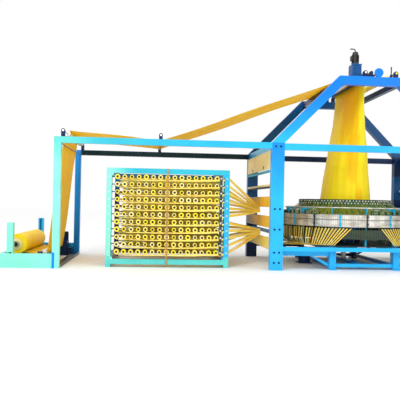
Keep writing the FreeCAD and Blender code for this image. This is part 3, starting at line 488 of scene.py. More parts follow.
@dataclass(frozen=True)
class Tape:
    """Loose flat tape: glossy plastic that varies from strip to strip."""

    name: str
    light: Tint
    deep: Tint
    turn: float

    def build(self) -> bpy.types.Material:
        """Make the tape's material."""
        g = Graph(self.name)
        strip = g.ramp(g.shade(), self.turn - 0.22, self.turn + 0.22)
        patch = g.ramp(g.noise(9.0, stretch=(0.3, 1.0, 1.0)), 0.30, 0.70)
        colour = g.mix(g.plus(g.times(strip, 0.7), g.times(patch, 0.3)), self.light.value, self.deep.value)
        fine = g.noise(240.0, 2.0, (0.1, 1.0, 1.0))
        g.bump(fine, 0.0004, 0.3)
        return g.surface(colour, g.vary(0.3, fine, 0.2, 0.0))


@dataclass(frozen=True)
class Package:
    """Cross-wound tape package: crossed ridges, and a shade of its own for each package."""

    name: str
    lead: float = 0.012

    def build(self) -> bpy.types.Material:
        """Make the package's material."""
        g = Graph(self.name)
        slope = g.times(g.axis("Z"), 0.6)
        up, down = g.plus(g.axis("Y"), slope), g.math("SUBTRACT", g.axis("Y"), slope)
        cross = g.times(g.wave(up, self.lead), g.wave(down, self.lead))
        body = g.mix(g.ramp(g.shade(), 0.15, 0.75), Tint.YELLOW.value, Tint.STRAW.value)
        bleached = g.tinge(body, Dirt.BLEACH.value, g.ramp(g.shade(), 0.80, 0.90), 0.55)
        lined = g.tinge(bleached, Tint.GOLD.value, cross, 0.25)
        g.bump(cross, 0.0015, 0.6)
        return g.surface(lined, 0.42)


@dataclass(frozen=True)
class Plain:
    """Fine-grained plain surface such as rubber, card, board or moulded plastic."""

    name: str
    tint: Tint
    roughness: float = 0.6
    grain: float = 90.0
    cloud: float = 0.5

    def build(self) -> bpy.types.Material:
        """Make the plain material."""
        g = Graph(self.name)
        fine = g.noise(self.grain, 5.0)
        cloud = g.ramp(g.noise(2.6, 4.0), 0.35, 0.75)
        shade = tuple(value * 0.62 for value in self.tint.value)
        colour = g.tinge(self.tint.value, shade, cloud, self.cloud)
        g.bump(fine, 0.0008, 0.35)
        return g.surface(colour, g.vary(self.roughness, fine, 0.2, 0.1))


Finish = Enamel | Machined | Ribbed | Casting | Woven | Tape | Package | Plain
_MADE: dict[str, bpy.types.Material] = {}


def dressed(finish: Finish) -> bpy.types.Material:
    """The finish's material, made once."""
    if finish.name not in _MADE:
        _MADE[finish.name] = finish.build()
    return _MADE[finish.name]


# ---- modelling helpers ---------------------------------------------------------------------------
AXES = {"X": Vector((1, 0, 0)), "Y": Vector((0, 1, 0)), "Z": Vector((0, 0, 1))}


def facing(axis: str | Vector) -> Matrix:
    """Turn that lays a shape built along Z onto a named axis or any direction."""
    direction = AXES[axis] if isinstance(axis, str) else axis.normalized()
    return Vector((0, 0, 1)).rotation_difference(direction).to_matrix().to_4x4()


def turned(angle: float) -> Matrix:
    """Turn about the head's axis, in radians."""
    return Matrix.Rotation(angle, 4, "Z")


def added(name: str, data: bpy.types.ID) -> bpy.types.Object:
    """A new object in the scene that holds the data."""
    holder = bpy.data.objects.new(name, data)
    bpy.context.scene.collection.objects.link(holder)
    return holder


def placed(name: str, mesh: bmesh.types.BMesh) -> bpy.types.Object:
    """A new object in the scene that takes the mesh over."""
    data = bpy.data.meshes.new(name)
    mesh.to_mesh(data)
    mesh.free()
    return added(name, data)


@dataclass
class Strip:
    """One flat tape: the points along its middle, the direction of its width and its shade."""

    route: list[Vector]
    across: Vector
    shade: float


class Workpiece:
    """A mesh in the making that ends as one named object riding on a body."""

    def __init__(self, name: str) -> None:
        """Start an empty mesh.

        Args:
            name: the finished object's name.
        """
        self.name = name
        self.mesh = bmesh.new()
        self.mesh.loops.layers.uv.new("UVMap")
        self.shade = self.mesh.verts.layers.float.new("shade")

    def block(self, centre: Point, size: Point, bevel: float = 0.002) -> list[bmesh.types.BMVert]:
        """Rectangular bar with rounded edges.

        Args:
            centre: middle of the bar.
            size: its extent along X, Y and Z.
            bevel: width of the rounded edges.

        Returns:
            The bar's vertices.
        """
        place = Matrix.Translation(centre) @ Matrix.Diagonal((*size, 1.0))
        verts = bmesh.ops.create_cube(self.mesh, size=1.0, matrix=place)["verts"]
        edges = list({edge for vert in verts for edge in vert.link_edges})
        made = bmesh.ops.bevel(self.mesh, geom=edges, offset=bevel, affect="EDGES", segments=2, profile=0.5,
                               material=-1)
        return made["verts"]

    def lathe(self, centre: Point, axis: str | Vector, profile: Sequence[tuple[float, float]], steps: int,
              shade: float = 0.0) -> None:
        """Body of revolution.

        Args:
            centre: origin of the profile.
            axis: the axis it turns about.
            profile: (radius, distance along the axis) points in order.
            steps: segments round the axis.
            shade: the shade value stored on its vertices.
        """
        made = [self.mesh.verts.new((radius, 0.0, along)) for radius, along in profile]
        edges = [self.mesh.edges.new(pair) for pair in zip(made, made[1:])]
        bmesh.ops.spin(self.mesh, geom=made + edges, cent=(0, 0, 0), axis=(0, 0, 1), angle=math.tau, steps=steps,
                       use_merge=True, use_duplicate=False)
        faces = {face for vert in made for face in vert.link_faces}
        grown = set(faces)
        while faces:
            faces = {near for face in faces for edge in face.edges for near in edge.link_faces} - grown
            grown |= faces
        verts = list({vert for face in grown for vert in face.verts})
        bmesh.ops.recalc_face_normals(self.mesh, faces=list(grown))
        bmesh.ops.transform(self.mesh, matrix=Matrix.Translation(centre) @ facing(axis), verts=verts)
        for vert in verts:
            vert[self.shade] = shade

    def rod(self, centre: Point, axis: str | Vector, radius: float, length: float, steps: int,
            round_off: float = 0.0) -> None:
        """Closed round bar with its end edges rounded off.

        Args:
            centre: middle of the bar.
            axis: direction of its length.
            radius: radius of the bar.
            length: length of the bar.
            steps: segments round it.
            round_off: how far its ends are rounded, if more than a trace.
        """
        half, cut = length / 2, max(round_off, radius * 0.04)
        profile = [(0.0, -half), (radius - cut, -half), (radius, cut - half), (radius, half - cut),
                   (radius - cut, half), (0.0, half)]
        self.lathe(centre, axis, profile, steps)

    def hoop(self, centre: Point, axis: str, radius: float, thick: float, steps: int, sides: int) -> None:
        """Closed ring of round wire.

        Args:
            centre: middle of the ring.
            axis: the axis it goes round.
            radius: radius of the wire's middle line.
            thick: radius of the wire.
            steps: segments round the ring.
            sides: segments round the wire.
        """
        profile = [(radius + thick * math.cos(math.tau * k / sides), thick * math.sin(math.tau * k / sides))
                   for k in range(sides + 1)]
        self.lathe(centre, axis, profile, steps)

    def ribbons(self, strips: Sequence[Strip], width: float) -> None:
        """Thin flat strips, all drawn out together one step at a time.

        Args:
            strips: the strips, whose routes have the same number of points.
            width: the width of every strip.
        """
        number = self.mesh.verts.layers.int.new("strip")
        side = self.mesh.verts.layers.int.new("side")
        front = []
        for count, strip in enumerate(strips):
            half = strip.across.normalized() * width / 2
            pair = [self.mesh.verts.new(strip.route[0] + half * sign) for sign in (-1, 1)]
            for vert, sign in zip(pair, (-1, 1)):
                vert[number], vert[side], vert[self.shade] = count, sign, strip.shade
            front.append(self.mesh.edges.new(pair))
        for step in range(1, len(strips[0].route)):
            made = bmesh.ops.extrude_edge_only(self.mesh, edges=front)["geom"]
            verts = {item for item in made if isinstance(item, bmesh.types.BMVert)}
            front = [item for item in made if isinstance(item, bmesh.types.BMEdge) and set(item.verts) <= verts]
            for vert in verts:
                strip = strips[vert[number]]
                vert.co = strip.route[step] + strip.across.normalized() * width / 2 * vert[side]

    def turn_all(self, angle: float) -> None:
        """Turn everything made so far about the head's axis."""
        bmesh.ops.transform(self.mesh, matrix=turned(angle), verts=self.mesh.verts)

    def row(self, step: Point, count: int) -> None:
        """Repeat everything made so far in a row, count times in all."""
        self.repeat(Matrix.Translation(tuple(part * k for part in step)) for k in range(1, count))

    def repeat(self, moves: Iterable[Matrix]) -> None:
        """Add a copy of everything made so far for each move."""
        faces = list(self.mesh.faces)
        for move in moves:
            made = bmesh.ops.duplicate(self.mesh, geom=faces)["geom"]
            fresh = [item for item in made if isinstance(item, bmesh.types.BMVert)]
            bmesh.ops.transform(self.mesh, matrix=move, verts=fresh)

    def around(self, groups: int, each: int = 1) -> None:
        """Repeat everything evenly about the head's axis, groups times each in all."""
        self.repeat(turned(math.tau * k / (groups * each)) for k in range(1, each))
        self.repeat(turned(math.tau * k / groups) for k in range(1, groups))

    def finish(self, finish: Finish, body: str = "root", slot: str | None = None,
               replaces: Sequence[str] = (), smooth: float = 0.6) -> bpy.types.Object:
        """Close the mesh and place it on its body.

        Args:
            finish: the finish it wears.
            body: the body it rides on.
            slot: the record's material slot that it stands for; not used.
            replaces: CAD nodes that it stands in for.
            smooth: faces meeting at less than this angle look smooth.

        Returns:
            The finished object.
        """
        piece = placed(self.name, self.mesh)
        piece.data.shade_smooth()
        piece.data.set_sharp_from_angle(angle=smooth)
        piece.data.materials.append(dressed(finish))
        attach(piece, body)
        if replaces:
            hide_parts(*replaces)
        log.info("%s: %d faces", self.name, len(piece.data.polygons))
        return piece


def evenly(low: float, high: float, count: int) -> list[float]:
    """Evenly spaced values from low to high."""
    return [low + (high - low) * k / (count - 1) for k in range(count)]


def polar(radius: float, angle: float, height: float) -> Vector:
    """Point at a radius and angle about the head's axis."""
    return Vector((radius * math.cos(angle), radius * math.sin(angle), height))


def sagging(start: Vector, end: Vector, sag: Vector) -> list[Vector]:
    """Five points along a hanging tape.

    Args:
        start: one end.
        end: the other end.
        sag: how far its middle hangs, and which way.

    Returns:
        The points, the ends among them.
    """
    return [start.lerp(end, k / 4) + sag * math.sin(math.pi * k / 4) for k in range(4)] + [end]


# ---- fabric --------------------------------------------------------------------------------------
TUBE_CLOTH = Woven("tube_cloth", Tint.YELLOW, Tint.AMBER, streak=0.2, fold_shade=0.6)
WEB_CLOTH = Woven("web_cloth", Tint.HONEY, Tint.GOLD, streak=0.3, glow=0.5)
ROLL_CLOTH = Woven("roll_cloth", Tint.YELLOW, Tint.AMBER, streak=0.35)
YARN = Package("wound_yarn")
LOOSE_TAPE = Tape("loose_tape", Tint.STRAW, Tint.GOLD, 0.7)
SHADED_TAPE = Tape("shaded_tape", Tint.GREEN_GOLD, Tint.STRAW, 0.6)


@dataclass
class Turn:
    """A roller that the web passes, seen from the near side."""

    x: float
    z: float
    radius: float
    sense: int


@dataclass
class FabricRun:
    """Woven tube above the head, flattened web over the left creel and the wound roll."""

    girth: float = 3.70
    thickness: float = 0.0012
    gap: float = 0.0003
    crease: float = 0.015
    # size, waves round, climb up the tube and shift of each fold
    folds: tuple[tuple[float, int, float, float], ...] = (
        (0.5, 5, 6.2, 0.0), (0.32, 11, -10.6, 1.0), (0.18, 23, 18.0, 0.0), (0.14, 4, 31 * math.pi, 0.0))
    tube_grid: tuple[int, int] = (180, 120)
    calm_below: float = 0.12
    nip_x: float = 0.0575
    nip_gap: float = 0.004
    nip_lap: float = 0.10
    bulge: float = 0.070
    tube_end: float = 0.945
    drum_wrap: float = math.radians(20)
    wrap_steps: int = 7
    web_step: float = 0.08
    web_strips: int = 28
    web_wave: float = 0.006
    web_neck: float = 0.006
    edge_wave: float = 0.010
    free_over: float = 0.5
    core: float = 0.0603
    laps: int = 22
    lap_step: float = 0.004
    # rollers in the order that the web meets them, and the way it goes round
    course: tuple[tuple[str, int], ...] = (
        ("press_roller", 1), ("exit_roller", 1), ("guide_roller_mid", -1), ("guide_roller_end", 1),
        ("winder_guide_roller", -1), ("winding_drum_front", 1))

    def __post_init__(self) -> None:
        """Read the tube's and the nip's places from the frame."""
        low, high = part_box("fabric_tube")
        self.ring_z, self.ring_radius = low[2], high[0] - 0.001
        self.nip_z = self.centre("press_roller")[1]

    @staticmethod
    def centre(node: str) -> tuple[float, float, float]:
        """X, Z and radius of the roller in a node."""
        low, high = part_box(node)
        return (low[0] + high[0]) / 2, (low[2] + high[2]) / 2, (high[2] - low[2]) / 2

    def wide_half(self, thick_half: float) -> float:
        """Half width of the tube for a half thickness, found by halving, at constant girth."""
        low, high = thick_half, self.girth / 2
        for _ in range(40):
            middle = (low + high) / 2
            girth = math.pi * (3 * (thick_half + middle)
                               - math.sqrt((3 * thick_half + middle) * (thick_half + 3 * middle)))
            low, high = (middle, high) if girth < self.girth else (low, middle)
        return min(low, self.girth / 4)

    def open_half(self, share: float) -> float:
        """Half thickness of the tube below the part that closes to the nip."""
        return self.ring_radius * (1 - share) + self.bulge * math.sin(math.pi * share)

    def thick_half(self, share: float) -> float:
        """Half thickness of the tube at a share of its rise."""
        if share <= self.tube_end:
            return self.open_half(share)
        closing = (1 - share) / (1 - self.tube_end)
        return self.thickness / 2 + (self.open_half(self.tube_end) - self.thickness / 2) * closing

    def creases(self, angle: float, share: float) -> float:
        """Depth of the soft folds pulled from the flat edges down to the ring.

        Args:
            angle: angle round the tube.
            share: share of the tube's rise.

        Returns:
            How far the cloth lies outside its smooth shape.
        """
        depth = sum(size * math.sin(turns * angle + climb * share + shift) for size, turns, climb, shift in self.folds)
        held = math.sin(math.pi * min(max((share - 0.01) / 0.93, 0.0), 1.0)) ** 0.6
        return self.crease * (depth - 0.6) * held

    def build_tube(self) -> None:
        """Rising tube: round at the ring, flat at the nip."""
        piece = Workpiece("woven_tube")
        bmesh.ops.create_grid(piece.mesh, x_segments=self.tube_grid[0], y_segments=self.tube_grid[1], size=0.5)
        uv = piece.mesh.loops.layers.uv["UVMap"]
        rise = self.nip_z - self.nip_gap - self.ring_z
        for face in piece.mesh.faces:
            for loop in face.loops:
                at = loop.vert.co
                loop[uv].uv = ((at.x + 0.5) * self.girth, (at.y + 0.5) * rise)
        for vert in piece.mesh.verts:
            angle, share = math.tau * (vert.co.x + 0.25), vert.co.y + 0.5
            thick = self.thick_half(share)
            wide = self.wide_half(thick) if share > 0 else thick
            depth = self.creases(angle, share) * min(1.0, thick / self.calm_below)
            out = Vector((math.cos(angle) / max(thick, 0.02), math.sin(angle) / wide, 0)).normalized()
            vert.co = Vector((self.nip_x * share + thick * math.cos(angle), wide * math.sin(angle),
                              self.ring_z + rise * share)) + out * depth
        bmesh.ops.remove_doubles(piece.mesh, verts=piece.mesh.verts, dist=1e-5)
        bmesh.ops.recalc_face_normals(piece.mesh, faces=piece.mesh.faces)
        tube = piece.finish(TUBE_CLOTH, slot="woven_fabric", replaces=["fabric_tube"], smooth=ALL_SMOOTH)

    def turns(self) -> list[Turn]:
        """Rollers in the order that the web meets them."""
        lift = self.gap + self.thickness / 2
        stops = [Turn(self.nip_x, self.nip_z - 0.02, 0.0, 1)]
        for node, sense in self.course:
            x, z, radius = self.centre(node)
            stops.append(Turn(x, z, radius + lift, sense))
        return stops

    def route(self) -> list[Vector]:
        """Middle line of the web in the XZ plane, from the nip to the winding drum."""
        stops = self.turns()
        points: list[Vector] = []
        headings, ends = [], []
        for here, ahead in zip(stops, stops[1:]):
            change = ahead.sense * ahead.radius - here.sense * here.radius
            gap = math.hypot(ahead.x - here.x, ahead.z - here.z)
            heading = math.atan2(ahead.z - here.z, ahead.x - here.x) - math.asin(change / gap)
            side = Vector((math.sin(heading), 0, -math.cos(heading)))
            ends.append((Vector((here.x, 0, here.z)) + side * here.sense * here.radius,
                         Vector((ahead.x, 0, ahead.z)) + side * ahead.sense * ahead.radius))
            headings.append(heading)
        headings.append(headings[-1] + self.drum_wrap)
        for number, (start, end) in enumerate(ends):
            pieces = max(1, round((end - start).length / self.web_step))
            points += [start.lerp(end, k / pieces) for k in range(pieces)]
            stop = stops[number + 1]
            change = (headings[number + 1] - headings[number] + math.pi) % math.tau - math.pi
            for k in range(self.wrap_steps):
                spoke = headings[number] + change * k / self.wrap_steps - stop.sense * math.pi / 2
                points.append(Vector((stop.x + stop.radius * math.cos(spoke), 0,
                                      stop.z + stop.radius * math.sin(spoke))))
        return points

    def build_web(self) -> None:
        """Flattened tube led over the rollers, with slack edges on its long runs."""
        points = self.route()
        steps = [0.0]
        for here, ahead in zip(points, points[1:]):
            steps.append(steps[-1] + (ahead - here).length)
        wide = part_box("fabric_web")[1][1]
        piece, last = Workpiece("flat_web"), len(points) - 1
        bmesh.ops.create_grid(piece.mesh, x_segments=last, y_segments=self.web_strips, size=0.5)
        uv = piece.mesh.loops.layers.uv["UVMap"]
        place = {vert: (min(round((vert.co.x + 0.5) * last), last), vert.co.y * 2) for vert in piece.mesh.verts}
        for face in piece.mesh.faces:
            for loop in face.loops:
                number, across = place[loop.vert]
                loop[uv].uv = (across * wide, steps[number])
        stops = self.turns()
        for vert, (number, across) in place.items():
            at = points[number]
            along = (points[min(number + 1, last)] - points[max(number - 1, 0)]).normalized()
            normal = Vector((-along.z, 0, along.x))
            clear = min(math.hypot(at.x - stop.x, at.z - stop.z) - stop.radius for stop in stops)
            free = min(max(clear, 0.0) / self.free_over, 1.0)
            wave = (self.web_wave * math.sin(9 * across + 1.4 * steps[number])
                    + self.edge_wave * abs(across) ** 6 * math.sin(2.3 * steps[number] + across))
            vert.co = at + Vector((0, across * wide * (1 - self.web_neck * free), 0)) + normal * wave * free
        web = piece.finish(WEB_CLOTH, slot="golden_fabric", replaces=["fabric_web"], smooth=ALL_SMOOTH)
        wall = web.modifiers.new("both_layers", "SOLIDIFY")
        wall.thickness, wall.offset = self.thickness, 0.0

    def build_roll(self) -> None:
        """Wound roll: layered ends, a slightly soft barrel and a stepped last lap."""
        low, high = (Vector(corner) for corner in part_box("fabric_roll"))
        x, z, radius = (low.x + high.x) / 2, (low.z + high.z) / 2, (high.z - low.z) / 2
        half, shoulder = high.y - self.lap_step, high.y - self.lap_step - 0.02
        ends = []
        for lap in range(self.laps + 1):
            at = self.core + (radius - self.lap_step - self.core) * lap / self.laps
            ends.append((at, half - self.lap_step * (lap % 2) - 0.003 * math.sin(lap * 0.9)))
        barrel = [(radius - 0.003 * (1 - math.cos(math.tau * k / 9)) / 2 - 0.0015, shoulder - 2 * shoulder * k / 18)
                  for k in range(19)]
        middle = [(self.core, 0.0)]
        profile = middle + ends + barrel + [(at, -along) for at, along in reversed(ends)] + middle
        piece = Workpiece("cloth_roll")
        piece.lathe((x, (low.y + high.y) / 2, z), "Y", profile, 96)
        uv = piece.mesh.loops.layers.uv["UVMap"]
        for face in piece.mesh.faces:
            for loop in face.loops:
                at = loop.vert.co
                loop[uv].uv = (at.y, radius * math.atan2(at.z - z, at.x - x))
        piece.finish(ROLL_CLOTH, "fabric_roll", "woven_fabric", ["fabric_roll"], smooth=0.5)

    def build(self) -> None:
        """Make the tube, the web and the roll."""
        self.build_tube()
        self.build_web()
        self.build_roll()


# ---- creels --------------------------------------------------------------------------------------
CARD_CORE = Plain("card_core", Tint.OLIVE, 0.7)
EYELET = Machined("glazed_eyelet", Tint.PEARL, 0.2, metallic=0.0)


@dataclass
class Creel:
    """One bobbin creel: two faces of tape packages with their tapes led to the eyelet strips."""

    side: int
    seed: int = 11
    rows: int = 11
    columns: int = 15
    row_low: float = 0.300
    row_high: float = 1.780
    column_low: float = 3.010
    column_high: float = 4.980
    radius: float = 0.0525
    bore: float = 0.0175
    length: float = 0.150
    least_full: float = 0.78
    tape_width: float = 0.0075
    lift_out: float = 0.060
    lift_drop: float = 0.052
    lane_width: float = 0.012
    led_reach: float = 0.055
    led_drop: float = 0.020
    slack: float = 0.006
    inner: int = 560
    inner_reach: float = 1.3
    inner_y: tuple[float, float] = (-0.92, 1.08)
    inner_end: float = 0.120
    eyelet_columns: tuple[float, float] = (0.050, 2.380)
    guide_column: float = 0.170
    stub: float = 0.172

    def __post_init__(self) -> None:
        """Read the creel's faces from the frame."""
        self.word = "left" if self.side < 0 else "right"
        low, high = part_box("bobbins_" + self.word)
        self.faces = ((low[1], 1), (high[1], -1))
        self.middle = (low[1] + high[1]) / 2
        frame_low, frame_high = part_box("creel_frame_" + self.word)
        self.inner_x = min(abs(frame_low[0]), abs(frame_high[0]))
        self.rise = (self.row_high - self.row_low) / (self.rows - 1)
        self.pitch = (self.column_high - self.column_low) / (self.columns - 1)
        self.dice = random.Random(self.seed + self.side)

    def places(self) -> list[tuple[float, float]]:
        """X and Z of every bobbin on one face."""
        return [(self.side * x, z) for z in evenly(self.row_low, self.row_high, self.rows)
                for x in evenly(self.column_low, self.column_high, self.columns)]

    def spread_over(self, piece: Workpiece, profile: Sequence[tuple[float, float]], steps: int) -> None:
        """Turn a profile on the first peg, and repeat it over the near face, then over the far face.

        Args:
            piece: the mesh to make it in.
            profile: (radius, distance along the peg) points in order.
            steps: segments round the peg.
        """
        first = (self.side * self.column_low, self.faces[0][0] + self.length / 2, self.row_low)
        piece.lathe(first, "Y", profile, steps)
        piece.row((0, 0, self.rise), self.rows)
        piece.row((self.side * self.pitch, 0, 0), self.columns)
        near = len(piece.mesh.faces)
        piece.repeat([Matrix.Translation((0, 2 * self.middle, 0)) @ Matrix.Diagonal((1, -1, 1, 1))])
        piece.mesh.faces.ensure_lookup_table()
        bmesh.ops.reverse_faces(piece.mesh, faces=piece.mesh.faces[near:])

    def build_bobbins(self) -> None:
        """Tape packages, each a turned barrel with domed ends, some fuller than others."""
        piece = Workpiece("packages_" + self.word)
        half, full = self.length / 2 - 0.004, self.radius
        profile = [(self.bore + 0.004, 0.010 - half), (self.bore + 0.010, -half), (full - 0.006, -half),
                   (full, 0.012 - half), (full * 0.985, 0.0), (full, half - 0.012), (self.bore + 0.006, half)]
        self.spread_over(piece, profile, 14)
        wound = {(row, column, sense): (self.dice.uniform(self.least_full, 1.0), self.dice.random())
                 for row in range(self.rows) for column in range(self.columns) for sense in (-1, 1)}
        for vert in piece.mesh.verts:
            row = round((vert.co.z - self.row_low) / self.rise)
            column = round((abs(vert.co.x) - self.column_low) / self.pitch)
            fullness, vert[piece.shade] = wound[row, column, 1 if vert.co.y < self.middle else -1]
            x, z = self.side * (self.column_low + self.pitch * column), self.row_low + self.rise * row
            if math.hypot(vert.co.x - x, vert.co.z - z) > self.bore + 0.015:
                vert.co.x, vert.co.z = x + (vert.co.x - x) * fullness, z + (vert.co.z - z) * fullness
        piece.finish(YARN, slot="yarn", replaces=["bobbins_" + self.word], smooth=0.7)

    def build_cores(self) -> None:
        """Card tubes standing a little proud of the packages."""
        piece = Workpiece("card_tubes_" + self.word)
        half, bore, wall = self.length / 2, self.bore + 0.0006, self.bore + 0.0035
        self.spread_over(piece, [(bore, 0.002 - half), (wall, -half), (wall, half), (bore, half - 0.002),
                                 (bore, 0.002 - half)], 10)
        piece.finish(CARD_CORE, slot="core_board", smooth=0.7)

    def build_led_tapes(self) -> None:
        """Tapes drawn off every package and led along its row to the eyelet strip."""
        piece = Workpiece("led_tapes_" + self.word)
        end_x = self.side * (self.inner_x + self.led_reach)
        strips = []
        for front, sense in self.faces:
            for x, z in self.places():
                lane, loose = self.dice.uniform(-0.5, 0.5), self.dice.random()
                y = front - sense * self.slack * loose
                start = Vector((x, y + sense * 0.002, z - self.radius * 0.8))
                lift = Vector((x - self.side * self.lift_out, y,
                               z - self.lift_drop - 2 * self.lane_width * abs(lane) - self.slack * loose))
                end = Vector((end_x, y, z - self.lane_width * lane - self.led_drop))
                sag = Vector((0, 0, -0.012 - 0.016 * loose)) * min((lift - end).length / 1.2, 1.0)
                strips.append(Strip([start] + sagging(lift, end, sag), Vector((0, 0.35 * sense, 1)),
                                    self.dice.random()))
        piece.ribbons(strips, self.tape_width)
        piece.finish(LOOSE_TAPE, slot="yarn", smooth=ALL_SMOOTH)

    def build_inner_tapes(self) -> None:
        """Tapes of the inner rows, drawn along the creel between its two faces."""
        piece = Workpiece("inner_tapes_" + self.word)
        end_x = self.side * (self.inner_x + self.inner_end)
        strips = []
        for _ in range(self.inner):
            x = self.column_high - self.inner_reach * self.dice.random() ** 2
            y = self.dice.uniform(*self.inner_y)
            z = self.dice.uniform(self.row_low - 0.03, self.row_high + 0.01)
            sag = Vector((0, 0, -0.02 * self.dice.random()))
            route = sagging(Vector((self.side * x, y, z)), Vector((end_x, y, z - 0.02)), sag)
            strips.append(Strip(route, Vector((0, 0.3, 1)), self.dice.random()))
        piece.ribbons(strips, 2 * self.tape_width)
        piece.finish(SHADED_TAPE, slot="yarn", smooth=ALL_SMOOTH)

    def build_eyelets(self) -> None:
        """Glazed eyelets in the strips at both ends of each face, and a guide strip behind the near one."""
        eyelets = Workpiece("eyelets_" + self.word)
        low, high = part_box("creel_fittings")
        for column in self.eyelet_columns:
            for y in (low[1] + 0.024, high[1] - 0.024):
                eyelets.hoop((self.side * (self.inner_x + column), y, self.row_low), "Y", 0.0125, 0.0042, 14, 6)
        eyelets.row((0, 0, self.rise), self.rows)
        eyelets.finish(EYELET, slot="bright_steel", smooth=ALL_SMOOTH)
        x, y = self.side * (self.inner_x + self.guide_column), low[1] + 0.030
        strip = Workpiece("guide_strip_" + self.word)
        strip.block((x, y, (self.row_low + self.row_high) / 2), (0.055, 0.006, self.row_high - self.row_low + 0.100),
                    0.0015)
        for row in range(self.rows):
            strip.rod((x, y + 0.003 + self.stub / 2, self.row_low + self.rise * row), "Y", 0.006, self.stub, 8)
        strip.finish(Plain("guide_bakelite", Tint.BOTTLE, 0.45), slot="green_paint")
        studs = Workpiece("guide_eyes_" + self.word)
        studs.lathe((x, y - 0.003, self.row_low), AXES["Y"] * -1,
                    [(0.006, 0.0), (0.010, 0.006), (0.015, 0.006), (0.018, 0.0)], 14)
        studs.row((0, 0, self.rise), self.rows)
        studs.finish(EYELET, slot="bright_steel", smooth=ALL_SMOOTH)

    def build(self) -> None:
        """Make everything on the creel."""
        self.build_bobbins()
        self.build_cores()
        self.build_led_tapes()
        self.build_inner_tapes()
        self.build_eyelets()


